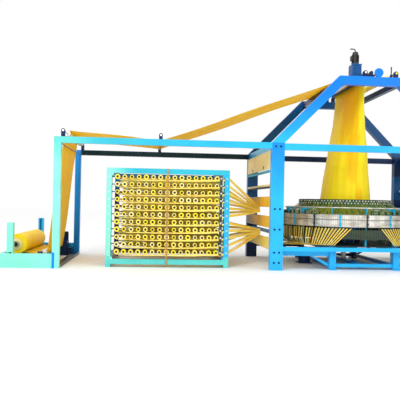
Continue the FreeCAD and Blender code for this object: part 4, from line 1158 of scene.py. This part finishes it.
@dataclass
class WarpSheet:
    """Tapes drawn from the creels through the boards and fanned out to the weaving head."""

    seed: int = 5
    creel_x: float = 2.759
    board_x: float = 1.979
    # lowest row, highest row and their number
    rows: tuple[float, float, int] = (0.300, 1.780, 11)
    gaps_z: tuple[float, float] = (0.725, 1.145)
    # Y at the creel and Y at the boards of each bundle in a row
    leads: tuple[tuple[float, float], ...] = ((-1.12, -0.42), (-1.03, -0.14), (1.21, 0.32), (1.30, 0.56))
    bunch: int = 9
    jitter: float = 0.012
    head_x: float = 1.9594
    start_half: float = 1.2
    comb_radius: float = 1.362
    comb_z: float = 0.835
    bend_z: float = 0.498
    bend_reach: float = 0.93
    tape_width: float = 0.0085
    bundles: int = 52
    strands: int = 3
    fan_half: float = math.radians(78)
    heald_radii: tuple[float, ...] = (1.300, 1.323, 1.346)
    heald_step: float = 7.5
    heald_room: float = 0.85

    def outside(self, at: Vector) -> Vector:
        """The same point, moved out where it would lie inside the comb's wall."""
        reach = max(self.comb_radius / math.hypot(at.x, at.y), 1.0)
        return Vector((at.x * reach, at.y * reach, at.z))

    @classmethod
    def top(cls, side: int, angle: float, height: float) -> Vector:
        """Where a tape of the fan meets the comb.

        Args:
            side: -1 for the left fan and 1 for the right.
            angle: angle from the side's own axis.
            height: height of the end.

        Returns:
            The tape's upper end.
        """
        return polar(cls.comb_radius, math.pi - angle if side < 0 else angle, height)

    @classmethod
    def bend(cls, side: int, top: Vector, height: float) -> Vector:
        """Where a tape bends up from the table.

        Args:
            side: -1 for the left fan and 1 for the right.
            top: where the tape meets the comb.
            height: height of the bend.

        Returns:
            The bend's place.
        """
        out = abs(top.x)
        return Vector((side * max(1.33 - 0.593 * (1.5 - out), 0.6 * out), cls.bend_reach * top.y, height))

    def meets_heald(self, low: Vector, high: Vector) -> bool:
        """Tell whether a tape crosses the healds' circles at a heald.

        Args:
            low: where the tape leaves its bend.
            high: its next point, at or outside the comb.

        Returns:
            True where it would run into a heald.
        """
        inner, outer = math.hypot(low.x, low.y), math.hypot(high.x, high.y)
        for radius in self.heald_radii:
            if inner < radius + 0.005 and outer > inner:
                at = low.lerp(high, max(0.0, radius - inner) / (outer - inner))
                off = math.degrees(math.atan2(at.y, at.x)) % self.heald_step - self.heald_step / 2
                if abs(off) < self.heald_room:
                    return True
        return False

    def creel_tapes(self, dice: random.Random, side: int) -> list[Strip]:
        """Bundles between the creel's eyelets and the gaps of the tape boards.

        Args:
            dice: source of the small differences.
            side: -1 for the left creel and 1 for the right.

        Returns:
            The tapes.
        """
        rows = evenly(*self.rows)
        middle = (rows[0] + rows[-1]) / 2
        strips = []
        for number, z in enumerate(rows):
            gap_z = self.gaps_z[z >= middle]
            for y, end_y in self.leads:
                for strand in range(self.bunch):
                    spread = 2 * strand / (self.bunch - 1) - 1
                    start = Vector((side * self.creel_x, y + self.jitter * dice.uniform(-1, 1),
                                    z + 0.020 * spread + 0.006 * dice.uniform(-1, 1)))
                    end = Vector((side * self.board_x, end_y + 0.012 * number + 0.035 * spread,
                                  gap_z + (z - gap_z) * 0.12 + 0.012 * spread))
                    route = sagging(start, end, Vector((0, 0, -self.jitter * dice.random())))
                    strips.append(Strip(route, Vector((0.2, 0.5, 1)), dice.random()))
        return strips

    def fan_tapes(self, dice: random.Random, side: int) -> list[Strip]:
        """Tapes from the low board, level over the table, then up to the comb.

        Args:
            dice: source of the small differences.
            side: -1 for the left fan and 1 for the right.

        Returns:
            The tapes that pass between the healds.
        """
        strips = []
        for number in range(self.bundles * self.strands):
            bundle, strand = divmod(number, self.strands)
            share = -1 + 2 * (bundle + 0.5 + 0.17 * (strand - 1) + 0.05 * dice.uniform(-1, 1)) / self.bundles
            angle = self.fan_half * share
            top = self.top(side, angle, self.comb_z)
            bend = self.bend(side, top, self.bend_z)
            start = Vector((side * self.head_x, self.start_half * (top.y / self.comb_radius),
                            self.bend_z + 0.004 * dice.random()))
            route = [start, start.lerp(bend, 0.5), bend, self.outside(bend.lerp(top, 0.32)),
                     self.outside(bend.lerp(top, 0.66)), top]
            shade = dice.random()
            if not self.meets_heald(route[2], route[3]):
                strips.append(Strip(route, Vector((-side * math.sin(angle), math.cos(angle), 0.02)), shade))
        return strips

    def build(self) -> None:
        """Make both sides' tapes, which stand in for the CAD tapes."""
        dice = random.Random(self.seed)
        creel_run, fan_run = Workpiece("creel_tapes"), Workpiece("fan_tapes")
        creel_run.ribbons(self.creel_tapes(dice, -1) + self.creel_tapes(dice, 1), self.tape_width)
        fan_run.ribbons(self.fan_tapes(dice, -1) + self.fan_tapes(dice, 1), self.tape_width)
        creel_run.finish(LOOSE_TAPE, slot="yarn", replaces=["warp_tapes"], smooth=ALL_SMOOTH)
        fan_run.finish(LOOSE_TAPE, slot="yarn", smooth=ALL_SMOOTH)


# ---- weaving head --------------------------------------------------------------------------------
GUIDE_PAINT = Enamel("guide_paint", Tint.BOTTLE, roughness=0.4)
CLAMP_PAINT = Enamel("clamp_paint", Tint.CYAN)
DARK_CAST = Casting("dark_cast", Tint.TEAL)
BRIGHT = Machined("bright_steel")
BLACK_PAINT = Casting("black_paint", Tint.BLACK, 0.4)
GEARBOX_PAINT = Enamel("gearbox_paint", Tint.DUSK)
PALE_EYE = Plain("pale_eye", Tint.PEARL, 0.35)
# painted shade: most climbing warp strips dark leaf-green as in shadow, the rest green-gold
SHADED_WARP_TAPE = Tape("warp_tape", Tint.GREEN_GOLD, Tint.LEAF, 0.3)


@dataclass
class WeavingHead:
    """Warp guides, eyelets, band joints and small castings round the weaving rings."""

    seed: int = 3
    tapes: int = 360
    eyes: int = 96
    eye_rows: tuple[float, ...] = (1.340, 1.390)
    crest_radius: float = 1.0
    crest_low: float = 1.26
    crest_high: float = 1.42
    warp_ends: tuple[float, ...] = (1.275, 1.31, 1.34)
    comb_radius: float = 1.30
    track_top: float = 1.11
    fabric_radius: float = 0.588
    fabric_z: float = 1.048
    shed_radius: float = 1.098
    shed_z: float = 0.985
    shed_half: float = 0.030
    tape_width: float = 0.007
    band_radius: float = 1.3605
    bands: tuple[tuple[float, float], ...] = ((0.866, 0.999), (1.016, 1.104))
    clamp_z: tuple[float, float] = (1.070, 0.925)
    rod_z: float = 0.489
    rod_lengths: int = 12

    def build_crest(self) -> None:
        """Rows of pale eyes round the warp ring, with a rolled lip above and below."""
        eyes = Workpiece("warp_eyes")
        for row, height in enumerate(self.eye_rows):
            out = polar(1.0, math.pi * (row % 2) / self.eyes, 0.0)
            centre = out * (self.crest_radius + 0.003) + Vector((0, 0, height))
            eyes.lathe(centre, out, [(0.004, 0.0), (0.0105, 0.005), (0.0145, 0.0)], 8)
        eyes.around(12, self.eyes // 12)
        eyes.finish(PALE_EYE, slot="bright_steel", smooth=ALL_SMOOTH)
        lips = Workpiece("warp_ring_lips")
        lips.block((self.crest_radius + 0.006, 0, (self.crest_low + self.crest_high) / 2),
                   (0.014, 0.010, self.crest_high - self.crest_low - 0.02))
        lips.around(6, 6)
        for height in (self.crest_low + 0.004, self.crest_high - 0.004):
            lips.hoop((0, 0, height), "Z", self.crest_radius + 0.002, 0.007, 144, 8)
        lips.finish(GUIDE_PAINT, slot="green_paint")

    def tape(self, angle: float, low: Vector, high: Vector, sag: float, dice: random.Random) -> Strip:
        """One short tape of the head.

        Args:
            angle: its angle about the head's axis.
            low: where it starts.
            high: where it ends.
            sag: how far its middle hangs.
            dice: source of its shade.

        Returns:
            The tape.
        """
        middle = low.lerp(high, 0.5) - Vector((0, 0, sag))
        return Strip([low, middle, high], Vector((-math.sin(angle), math.cos(angle), 0)), dice.random())

    def build_warps(self) -> None:
        """Tapes standing from the heald comb to the warp ring, and the shed inside the reed."""
        dice = random.Random(self.seed)
        climbing, rising = Workpiece("climbing_warps"), []
        for number in range(2 * self.tapes):
            angle = math.pi * (number + dice.uniform(-0.3, 0.3)) / self.tapes
            low = polar(self.comb_radius - 0.012, angle, self.track_top + 0.012)
            high = polar(self.crest_radius + 0.012, angle + dice.uniform(-0.01, 0.01), dice.choice(self.warp_ends))
            rising.append(self.tape(angle, low, high, 0.004, dice))
        climbing.ribbons(rising, self.tape_width * 1.6)
        climbing.finish(SHADED_WARP_TAPE, slot="yarn", smooth=ALL_SMOOTH)
        shed, level = Workpiece("shed_warps"), []
        for number in range(self.tapes):
            angle = math.tau * (number + dice.uniform(-0.3, 0.3)) / self.tapes
            lift = self.shed_half if number % 2 else -self.shed_half
            inner = polar(self.fabric_radius + 0.004, angle, self.fabric_z + 0.004)
            level.append(self.tape(angle, inner, polar(self.shed_radius, angle, self.shed_z + lift), 0.0, dice))
        shed.ribbons(level, self.tape_width)
        shed.finish(LOOSE_TAPE, slot="yarn", smooth=ALL_SMOOTH)

    def build_band_joints(self) -> None:
        """Rolled beads along the bands, narrow straps between their lengths, and clamps over both."""
        beads, straps = Workpiece("band_beads"), Workpiece("band_straps")
        for low, high in self.bands:
            for height in (low, high):
                beads.hoop((0, 0, height), "Z", self.band_radius, 0.0042, 180, 6)
            low, high = low + 0.002, high - 0.002
            straps.block((self.band_radius + 0.002, 0, (low + high) / 2), (0.005, 0.016, high - low), 0.001)
        beads.finish(BRIGHT, slot="band_steel")
        straps.turn_all(math.tau / 48)
        straps.around(6, 4)
        straps.finish(BRIGHT, slot="band_steel")
        for name, angle, finish, slot in (("painted_clamps", -3 * math.pi / 8, CLAMP_PAINT, "cyan_paint"),
                                          ("dark_clamps", -math.pi / 2, DARK_CAST, "dark_casting")):
            clamps = Workpiece(name)
            clamps.block((self.band_radius + 0.0085, 0, 0.985), (0.008, 0.030, 0.262))
            for height in self.clamp_z:
                clamps.block((self.band_radius + 0.0165, 0, height), (0.010, 0.046, 0.040), 0.003)
            clamps.turn_all(angle)
            clamps.around(8)
            clamps.finish(finish, slot=slot)

    def build_turning_rods(self) -> None:
        """Short rods over the table that the fan's tapes bend round."""
        rods = Workpiece("turning_rods")
        for side in (-1, 1):
            tops = [WarpSheet.top(side, WarpSheet.fan_half * share, 0.0)
                    for share in evenly(-1.0, 1.0, self.rod_lengths + 1)]
            bends = [WarpSheet.bend(side, top, self.rod_z) for top in tops]
            for here, ahead in zip(bends, bends[1:]):
                rods.rod((here + ahead) / 2, ahead - here, 0.0075, (ahead - here).length + 0.004, 10)
        rods.finish(BRIGHT, slot="bright_steel", smooth=0.8)

    def build(self) -> None:
        """Make everything on the head."""
        self.build_crest()
        self.build_warps()
        self.build_band_joints()
        self.build_turning_rods()


# ---- take-up and winder --------------------------------------------------------------------------
@dataclass(frozen=True)
class MotorFins:
    """Upright cooling fins round a motor."""

    x: float
    y: float
    z: float
    out: float
    height: float
    count: int

    def add(self, piece: Workpiece) -> None:
        """Stand the fins in a mesh."""
        for number in range(self.count):
            made = piece.block((self.out, 0, self.z), (0.014, 0.004, self.height), 0.001)
            move = Matrix.Translation((self.x, self.y, 0)) @ turned(math.tau * number / self.count)
            bmesh.ops.transform(piece.mesh, matrix=move, verts=made)


@dataclass
class TakeUp:
    """Fins and rims of the roof motor, and ribs and plugs of the gearbox."""

    motor_x: float = -0.305
    motor_radius: float = 0.062
    rims: tuple[float, float] = (4.145, 4.30)
    ribs: int = 4

    def build_motor(self) -> None:
        """Cooling fins between two rims on the upright motor."""
        low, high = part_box("take_up_motor")
        y = (low[1] + high[1]) / 2
        piece = Workpiece("motor_fins")
        MotorFins(self.motor_x, y, 4.225, self.motor_radius + 0.006, 0.13, 20).add(piece)
        for height in self.rims:
            piece.hoop((self.motor_x, y, height), "Z", self.motor_radius + 0.004, 0.006, 40, 8)
        piece.finish(BLACK_PAINT, slot="black_motor")

    def build_gearbox(self) -> None:
        """Ribs and plugs on the gearbox's near face."""
        low, high = (Vector(corner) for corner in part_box("take_up_gearbox"))
        piece, front, inset = Workpiece("gearbox_ribs"), low.y - 0.003, 0.03
        for share in evenly(0.2, 0.8, self.ribs):
            piece.block(((low.x + high.x) / 2, front, low.z + (high.z - low.z) * share), (0.15, 0.008, 0.012))
        for z in (high.z - inset, low.z + inset):
            for x in (low.x + inset, high.x - inset):
                piece.rod((x, front, z), "Y", 0.009, 0.012, 6)
        piece.finish(GEARBOX_PAINT, slot="azure_paint")

    def build(self) -> None:
        """Make the take-up's details."""
        self.build_motor()
        self.build_gearbox()


@dataclass
class WinderDetails:
    """Motor fins, shaft collars, core plugs and covers of the guide posts on the floor winder."""

    motor: MotorFins = MotorFins(-6.34, 1.17, 0.44, 0.078, 0.18, 24)
    collar_y: float = 1.012
    plug_y: float = 0.926
    cover_half: float = 0.0575
    cover_z: float = 0.576
    cover_height: float = 0.552

    def build_collars(self, x: float, z: float) -> Workpiece:
        """Collars on the winding shaft, each with a set screw, about the shaft's X and Z."""
        collars = Workpiece("shaft_collars")
        for y in (-self.collar_y, self.collar_y):
            collars.lathe((x, y, z), "Y", [(0.0205, -0.02), (0.040, -0.02), (0.043, -0.016), (0.043, 0.016),
                                           (0.040, 0.02), (0.0205, 0.02), (0.0205, -0.02)], 32)
            collars.rod((x, y, z + 0.043), "Z", 0.006, 0.008, 6)
        return collars

    def build_plugs(self, x: float, z: float) -> None:
        """Stepped plugs in the ends of the roll's core, about the shaft's X and Z."""
        plugs = Workpiece("core_plugs")
        for sense in (-1, 1):
            plugs.lathe((x, sense * self.plug_y, z), AXES["Y"] * sense,
                        [(0.0615, 0.0), (0.0615, 0.006), (0.100, 0.006), (0.104, 0.010), (0.112, 0.010),
                         (0.116, 0.006), (0.116, 0.0), (0.0615, 0.0)], 64)
        plugs.finish(Plain("core_plug_board", Tint.CREAM, 0.6), "fabric_roll", "core_board")

    def build_covers(self, x: float) -> None:
        """Folded covers over the outer sides of the slotted guide posts, about the posts' X."""
        covers = Workpiece("post_covers")
        for sense in (-1, 1):
            covers.block((x, sense * 1.449, self.cover_z), (2 * self.cover_half, 0.006, self.cover_height), 0.001)
            for edge in (-1, 1):
                covers.block((x + edge * (self.cover_half - 0.002), sense * 1.433, self.cover_z),
                             (0.004, 0.026, self.cover_height), 0.0005)
        # painted light and shade: the covers fade from mint on the near side to sky blue on the far side
        covers.finish(Enamel("cover_paint", Tint.MINT, (Fade("Y", -1.0, 1.0, Tint.SKY),)), slot="mint_paint")

    def build(self) -> None:
        """Make the winder's details."""
        fins = Workpiece("winder_motor_fins")
        self.motor.add(fins)
        fins.finish(Enamel("winder_motor_paint", Tint.NAVY, roughness=0.4), slot="navy_paint")
        low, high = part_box("winding_shaft")
        x, z = (low[0] + high[0]) / 2, (low[2] + high[2]) / 2
        collars = self.build_collars(x, z)
        self.build_plugs(x, z)
        self.build_covers(x)
        collars.finish(Enamel("collar_paint", Tint.BOTTLE, roughness=0.35), "fabric_roll", "dark_casting")


# ---- frame dressing ------------------------------------------------------------------------------
@dataclass
class FrameDress:
    """Weld beads at the frame's joints, and grommets and lips on the tape boards."""

    bead: float = 0.005
    bead_step: float = 0.007
    # X, Y and half length of the seams
    roof_seams: tuple[float, float, float] = (1.73, 1.305, 0.03)
    roof_seam_z: tuple[float, float] = (2.358, 2.492)
    run_seams: tuple[float, float, float] = (-6.03, 1.40, 0.05)
    run_seam_z: float = 2.379
    # Y and Z
    grommet: tuple[float, float] = (0.63, 2.055)
    lip_z: tuple[float, ...] = (0.404, 0.616, 0.834, 1.046, 1.244, 1.436)

    def build_welds(self) -> None:
        """Rippled fillet beads where beams meet posts."""
        welds = Workpiece("weld_beads")
        x, y, half = self.roof_seams
        for end in (-x, x):
            for face in (-y, y):
                for z in self.roof_seam_z:
                    self.seam(welds, Vector((end, face, z)), half)
        x, y, half = self.run_seams
        for face in (-y, y):
            self.seam(welds, Vector((x, face, self.run_seam_z)), half)
        welds.finish(Enamel("weld_paint", Tint.SKY), slot="sky_paint", smooth=ALL_SMOOTH)

    def seam(self, piece: Workpiece, middle: Vector, half: float) -> None:
        """One bead of overlapping scales along Y.

        Args:
            piece: the mesh to make it in.
            middle: middle of the bead.
            half: half its length.
        """
        start, end = middle - AXES["Y"] * half, middle + AXES["Y"] * half
        count = max(2, int((end - start).length / self.bead_step))
        for k in range(count + 1):
            bmesh.ops.create_uvsphere(piece.mesh, u_segments=8, v_segments=5, radius=self.bead,
                                      matrix=Matrix.Translation(start.lerp(end, k / count)))

    def build_board_details(self) -> None:
        """Cable grommets and tape guide lips on the tape boards."""
        grommets, lips = Workpiece("board_grommets"), Workpiece("board_lips")
        low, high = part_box("tape_boards")
        y, z = self.grommet
        for side, outer in ((-1, low[0]), (1, high[0])):
            for place in (-y, y):
                grommets.lathe((outer, place, z), AXES["X"] * side,
                               [(0.0, 0.003), (0.020, 0.003), (0.022, 0.006), (0.030, 0.005), (0.033, 0.0)], 24)
            for height in self.lip_z:
                lips.rod((outer - side * 0.010, 0.0, height), "Y", 0.0115, 2 * high[1] - 0.002, 10, 0.002)
        grommets.finish(Plain("grommet_rubber", Tint.BLACK, 0.5), slot="belt_rubber")
        # painted light: the lips fade from bottle green to gold towards the near side
        lips.finish(Enamel("lip_paint", Tint.BOTTLE, (Fade("Y", 0.4, -1.0, Tint.GOLD),)), slot="green_paint")

    def build(self) -> None:
        """Make the frame's dressing."""
        self.build_welds()
        self.build_board_details()


# ---- finishes of the frame's own nodes -----------------------------------------------------------
# painted light and shade on the frame: far sides fade to navy as in shade, and the roof paint turns azure towards the
# top
FAR_SIDE_SHADE = Fade("Y", 0.6, 1.3, Tint.NAVY)
TOWARDS_ROOF = Fade("Z", 2.3, 3.6, Tint.AZURE)

# painted light and shade: the posts turn lagoon blue towards the top and navy on the far side, and a dusk-blue stretch
# darkens the far posts between 1.46 and 2.04 m
POST_PAINT = Enamel("post_paint", Tint.SKY, (Fade("Z", 1.2, 2.6, Tint.LAGOON), FAR_SIDE_SHADE),
                    (Patch(Tint.DUSK, (("Y", 1.20, 1.50), ("Z", 1.46, 2.04))),))
# painted light and shade: the roof turns azure towards the top and dusk-blue on the far side, and the far low beam and
# the cross members between the long sides are painted navy as in shadow
ROOF_PAINT = Enamel("roof_paint", Tint.SKY, (TOWARDS_ROOF, Fade("Y", 0.6, 1.3, Tint.DUSK)),
                    (Patch(Tint.NAVY, (("Y", 1.28, 1.50), ("Z", 2.30, 2.52))),
                     Patch(Tint.NAVY, (("Y", -1.28, 1.28), ("Z", 3.3, 4.0)))))
# painted light and shade: the overhead frame runs from mint through turquoise to sky blue along X and to aqua up top,
# and its far top beam is painted dark teal as in shade
RUN_PAINT = Enamel("run_paint", Tint.MINT,
                   (Fade("Z", 1.9, 2.5, Tint.AQUA), Fade("X", -6.02, -5.2, Tint.TURQUOISE),
                    Fade("X", -5.2, -2.6, Tint.SKY)),
                   (Patch(Tint.TEAL, (("Y", 1.30, 1.50), ("Z", 2.36, 2.52), ("X", -6.02, -1.9))),
                    Patch(Tint.LAGOON, (("Y", 1.30, 1.50), ("X", -6.20, -6.02))),
                    Patch(Tint.LAGOON, (("Y", -1.50, -1.30), ("X", -6.17, -6.11), ("Z", 0.0, 0.30))),
                    Patch(Tint.BLACK, (("|Y|", -1.0, 1.30), ("X", -6.20, -6.02)))))
# painted shade: the table and the base stand darker towards the far side
TABLE_PAINT = Enamel("table_paint", Tint.SKY, (FAR_SIDE_SHADE,))
BASE_PAINT = Enamel("base_paint", Tint.SKY, (Fade("Y", -1.05, -0.5, Tint.LAGOON), Fade("Y", -0.2, 0.8, Tint.NAVY)))
# painted light and shade: the creel frames turn mint towards their outer ends and aqua near the floor, and everything
# behind the near face turns lagoon blue, and navy up to 1.6 m, as in shade
CREEL_PAINT = Enamel("creel_paint", Tint.TURQUOISE,
                     (Fade("X", -4.6, -5.2, Tint.MINT), Fade("Z", 0.5, 0.05, Tint.AQUA),
                      Fade("Y", -1.05, -0.95, Tint.LAGOON)),
                     (Patch(Tint.NAVY, (("Y", -0.98, 1.5), ("Z", 0.0, 1.6))),
                      Patch(Tint.OLIVE, (("|X|", 2.91, 5.04), ("Y", -0.99, -0.95), ("Z", 0.28, 1.83)))))
FITTING_PAINT = Enamel("fitting_paint", Tint.BLACK, (),
                       (Patch(Tint.COPPER, (("|X|", 3.95, 4.05),)), Patch(Tint.SKY, (("|X|", 2.70, 2.90),)),
                        Patch(Tint.MINT, (("|X|", 5.05, 5.30),))))
# painted light and shade: the tape boards turn lighter straw lower down and darker olive towards the far side
BOARD_PAINT = Enamel("board_paint", Tint.GOLD, (Fade("Z", 0.9, 0.4, Tint.STRAW), Fade("Y", -0.1, 1.1, Tint.OLIVE)),
                     (Patch(Tint.CREAM, (("Z", 1.99, 2.40),)), Patch(Tint.CYAN, (("Z", 1.90, 1.99),)),
                      Patch(Tint.CREAM, (("Z", 1.650, 1.70),)), Patch(Tint.TEAL, (("Z", 1.60, 1.650),))), 0.5)
# painted light and shade: the winder runs from mint on the near side to sky blue on the far side, and the cam housing
# turns lighter lagoon blue towards the top
WINDER_PAINT = Enamel("winder_paint", Tint.MINT, (Fade("Y", -1.0, 1.0, Tint.SKY),))
HUB_PAINT = Enamel("hub_paint", Tint.NAVY, (Fade("Z", 0.45, 0.8, Tint.LAGOON),))
MOTOR_PAINT = Enamel("motor_paint", Tint.NAVY, (), (), 0.4)
ROLLER_PAINT = Enamel("feed_roller_paint", Tint.LAGOON)
SPROCKET = Enamel("driven_roller", Tint.NAVY, (), (Patch(Tint.AZURE, (("Y", -1.6, -1.40),)),), 0.45)
# painted light and shade: ribbed finishes darken the gaps between ribs and broad bands round the ring; the warp ring's
# leaf-green ribs are a painted highlight
WARP_RING = Ribbed("warp_ring_paint", Tint.LEAF, Tint.BOTTLE, 180, 0.8, 0.0)
BANDS = Ribbed("ribbed_bands", Tint.PEARL, Tint.OLIVE, 240, 0.35, 0.4, 0.45)
REED = Ribbed("reed_wires", Tint.STEEL, Tint.BLACK, 720, 0.85)
COMB = Ribbed("comb_slots", Tint.BOTTLE, Tint.BLACK, 180, 0.8, 0.0, 0.1)
TRACK = Machined("track_steel", Tint.OLIVE, 0.45, metallic=0.1)
HEALD = Machined("heald_steel", Tint.BOTTLE, 0.4, metallic=0.2)
RUBBER = Plain("ground_rubber", Tint.TEAL, 0.55)
BELT = Plain("belt_rubber", Tint.BLACK, 0.7)
SPARE = Plain("spare_roller", Tint.YELLOW, 0.45)
SHAFT = Enamel("winding_shaft", Tint.CARD, (), (Patch(Tint.BOTTLE, (("|Y|", 0.99, 1.6),)),), 0.5)
ROLLER_STEEL = Machined("roller_steel", Tint.PEARL, 0.35, metallic=0.5)
SHUTTLE = Enamel("shuttle_shell", Tint.LAGOON, (), (), 0.35)

NODE_FINISHES: dict[str, Finish] = {
    "base_stand": BASE_PAINT, "bed_plate": DARK_CAST, "cam_housing": HUB_PAINT, "comb_ring": COMB,
    "corner_posts": POST_PAINT, "creel_fittings": FITTING_PAINT, "creel_frame_left": CREEL_PAINT,
    "creel_frame_right": CREEL_PAINT, "creel_pegs": BLACK_PAINT, "drive_belt": BELT, "exit_roller": ROLLER_STEEL,
    "feed_roller_left": ROLLER_PAINT, "feed_roller_right": ROLLER_PAINT, "frame_bolts": MOTOR_PAINT,
    "guard_bands": BANDS, "guide_roller_end": ROLLER_STEEL, "guide_roller_mid": ROLLER_STEEL,
    "head_brackets": CLAMP_PAINT, "healds_even": HEALD, "healds_odd": HEALD, "main_motor": MOTOR_PAINT,
    "main_pulley": DARK_CAST, "main_shaft": BRIGHT, "motor_pulley": DARK_CAST, "nip_lever": BLACK_PAINT,
    "overhead_frame": RUN_PAINT, "press_roller": RUBBER, "reed_ring": REED, "roll_carriers": BRIGHT,
    "roller_bearings": MOTOR_PAINT, "roof_frame": ROOF_PAINT, "roof_guide_roller": SPARE,
    "shuttle_tracks": TRACK, "shuttle_wheel": DARK_CAST, "shuttles": SHUTTLE, "table_beams": TABLE_PAINT,
    "take_up_gearbox": GEARBOX_PAINT, "take_up_motor": BLACK_PAINT, "take_up_roller": SPROCKET,
    "tape_boards": BOARD_PAINT, "warp_ring": WARP_RING, "weaving_ring": BRIGHT, "winder_base": WINDER_PAINT,
    "winder_gearmotor": MOTOR_PAINT, "winder_guide_roller": ROLLER_STEEL, "winding_drum_front": RUBBER,
    "winding_drum_rear": RUBBER, "winding_shaft": SHAFT,
}


@dataclass
class Coats:
    """Paint and metal on every node kept from the frame."""

    finishes: dict[str, Finish] = field(default_factory=lambda: dict(NODE_FINISHES))

    def build(self) -> None:
        """Give each node's material slots its finish."""
        for node, finish in self.finishes.items():
            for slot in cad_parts[node].material_slots:
                slot.material = dressed(finish)
        log.info("coats: %d nodes", len(self.finishes))


@dataclass
class WeftPackages:
    """Wound packages on the six shuttles."""

    bore: float = 0.0095
    half: float = 0.118
    sides: int = 40
    ridges: int = 24
    ridge: float = 0.0012

    def build(self) -> None:
        """Turn one package for each shuttle, each riding on its own pin."""
        for name in sorted(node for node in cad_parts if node.startswith("weft_bobbin_")):
            low, high = (Vector(corner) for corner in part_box(name))
            centre = (low + high) / 2
            angle = math.atan2(centre.y, centre.x)
            along = Vector((-math.sin(angle), math.cos(angle), 0))
            half, radius = self.half, (high.z - low.z) / 2 - 0.001
            ridges = [(radius - self.ridge * (k % 2), -half + 0.018 + (2 * half - 0.036) * k / self.ridges)
                      for k in range(self.ridges + 1)]
            profile = ([(self.bore, -half), (radius * 0.6, -half), (radius * 0.95, -half + 0.012)] + ridges
                       + [(radius * 0.95, half - 0.012), (radius * 0.6, half), (self.bore, half), (self.bore, -half)])
            piece = Workpiece(name.replace("bobbin", "package"))
            piece.lathe(tuple(centre), along, profile, self.sides, 0.5)
            piece.finish(YARN, name, "yarn", [name])


# ---- studio --------------------------------------------------------------------------------------
@dataclass
class Studio:
    """Pale floor, soft lights and the camera."""

    eye: Point = (-4.2404, -11.9766, 1.3104)
    yaw: float = 0.0822
    pitch: float = 0.0035
    roll: float = 0.0199
    lens: float = 49.24
    sensor: float = 36.0
    floor_half: float = 60.0
    # name, place, aim and watts
    lamps: tuple[tuple[str, Point, Point, float], ...] = (
        ("key", (-7.0, -11.0, 8.0), (-1.5, 0.0, 1.5), 620.0), ("fill", (6.0, -9.0, 5.0), (0.5, 0.0, 1.5), 200.0))
    lamp_size: float = 6.0

    def build_floor(self) -> None:
        """Wide matt floor that isn't part of the line."""
        mesh = bmesh.new()
        bmesh.ops.create_grid(mesh, x_segments=1, y_segments=1, size=self.floor_half)
        floor = placed("studio_floor", mesh)
        floor.data.materials.append(dressed(Plain("floor_paper", Tint.PAPER, 0.9, 3.0, 0.03)))

    def build_lights(self) -> None:
        """Bright even surroundings with a broad soft key from the front left and a fill."""
        world = bpy.data.worlds.new("studio_world")
        world.use_nodes = True
        back = world.node_tree.nodes["Background"]
        back.inputs["Color"].default_value = (1.0, 1.0, 1.0, 1.0)
        back.inputs["Strength"].default_value = 1.0
        bpy.context.scene.world = world
        for name, spot, aim, power in self.lamps:
            lamp = bpy.data.lights.new(name, "AREA")
            lamp.size, lamp.energy = self.lamp_size, power
            holder = added(name, lamp)
            holder.location = spot
            holder.rotation_euler = (Vector(aim) - Vector(spot)).to_track_quat("-Z", "Y").to_euler()

    def build_camera(self) -> None:
        """Camera on the near side, level and a little left of the head."""
        data = bpy.data.cameras.new("camera")
        data.lens, data.sensor_width = self.lens, self.sensor
        camera = added("camera", data)
        forward = Vector((math.sin(self.yaw) * math.cos(self.pitch), math.cos(self.yaw) * math.cos(self.pitch),
                          math.sin(self.pitch)))
        level = Vector((math.cos(self.yaw), -math.sin(self.yaw), 0))
        upright = level.cross(forward)
        right = level * math.cos(self.roll) + upright * math.sin(self.roll)
        up = upright * math.cos(self.roll) - level * math.sin(self.roll)
        turn = Matrix((right, up, -forward)).transposed()
        camera.matrix_world = Matrix.Translation(self.eye) @ turn.to_4x4()
        bpy.context.scene.camera = camera
        bpy.context.scene.view_settings.view_transform = "Standard"

    def build(self) -> None:
        """Make the studio."""
        self.build_floor()
        self.build_lights()
        self.build_camera()


def main() -> None:
    """Build every sub-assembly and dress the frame."""
    logging.basicConfig(level=logging.INFO, format="%(name)s %(message)s")
    Coats().build()
    FabricRun().build()
    Creel(-1).build()
    Creel(1).build()
    WarpSheet().build()
    WeavingHead().build()
    WeftPackages().build()
    TakeUp().build()
    WinderDetails().build()
    FrameDress().build()
    Studio().build()


if __name__ == "__main__":
    main()
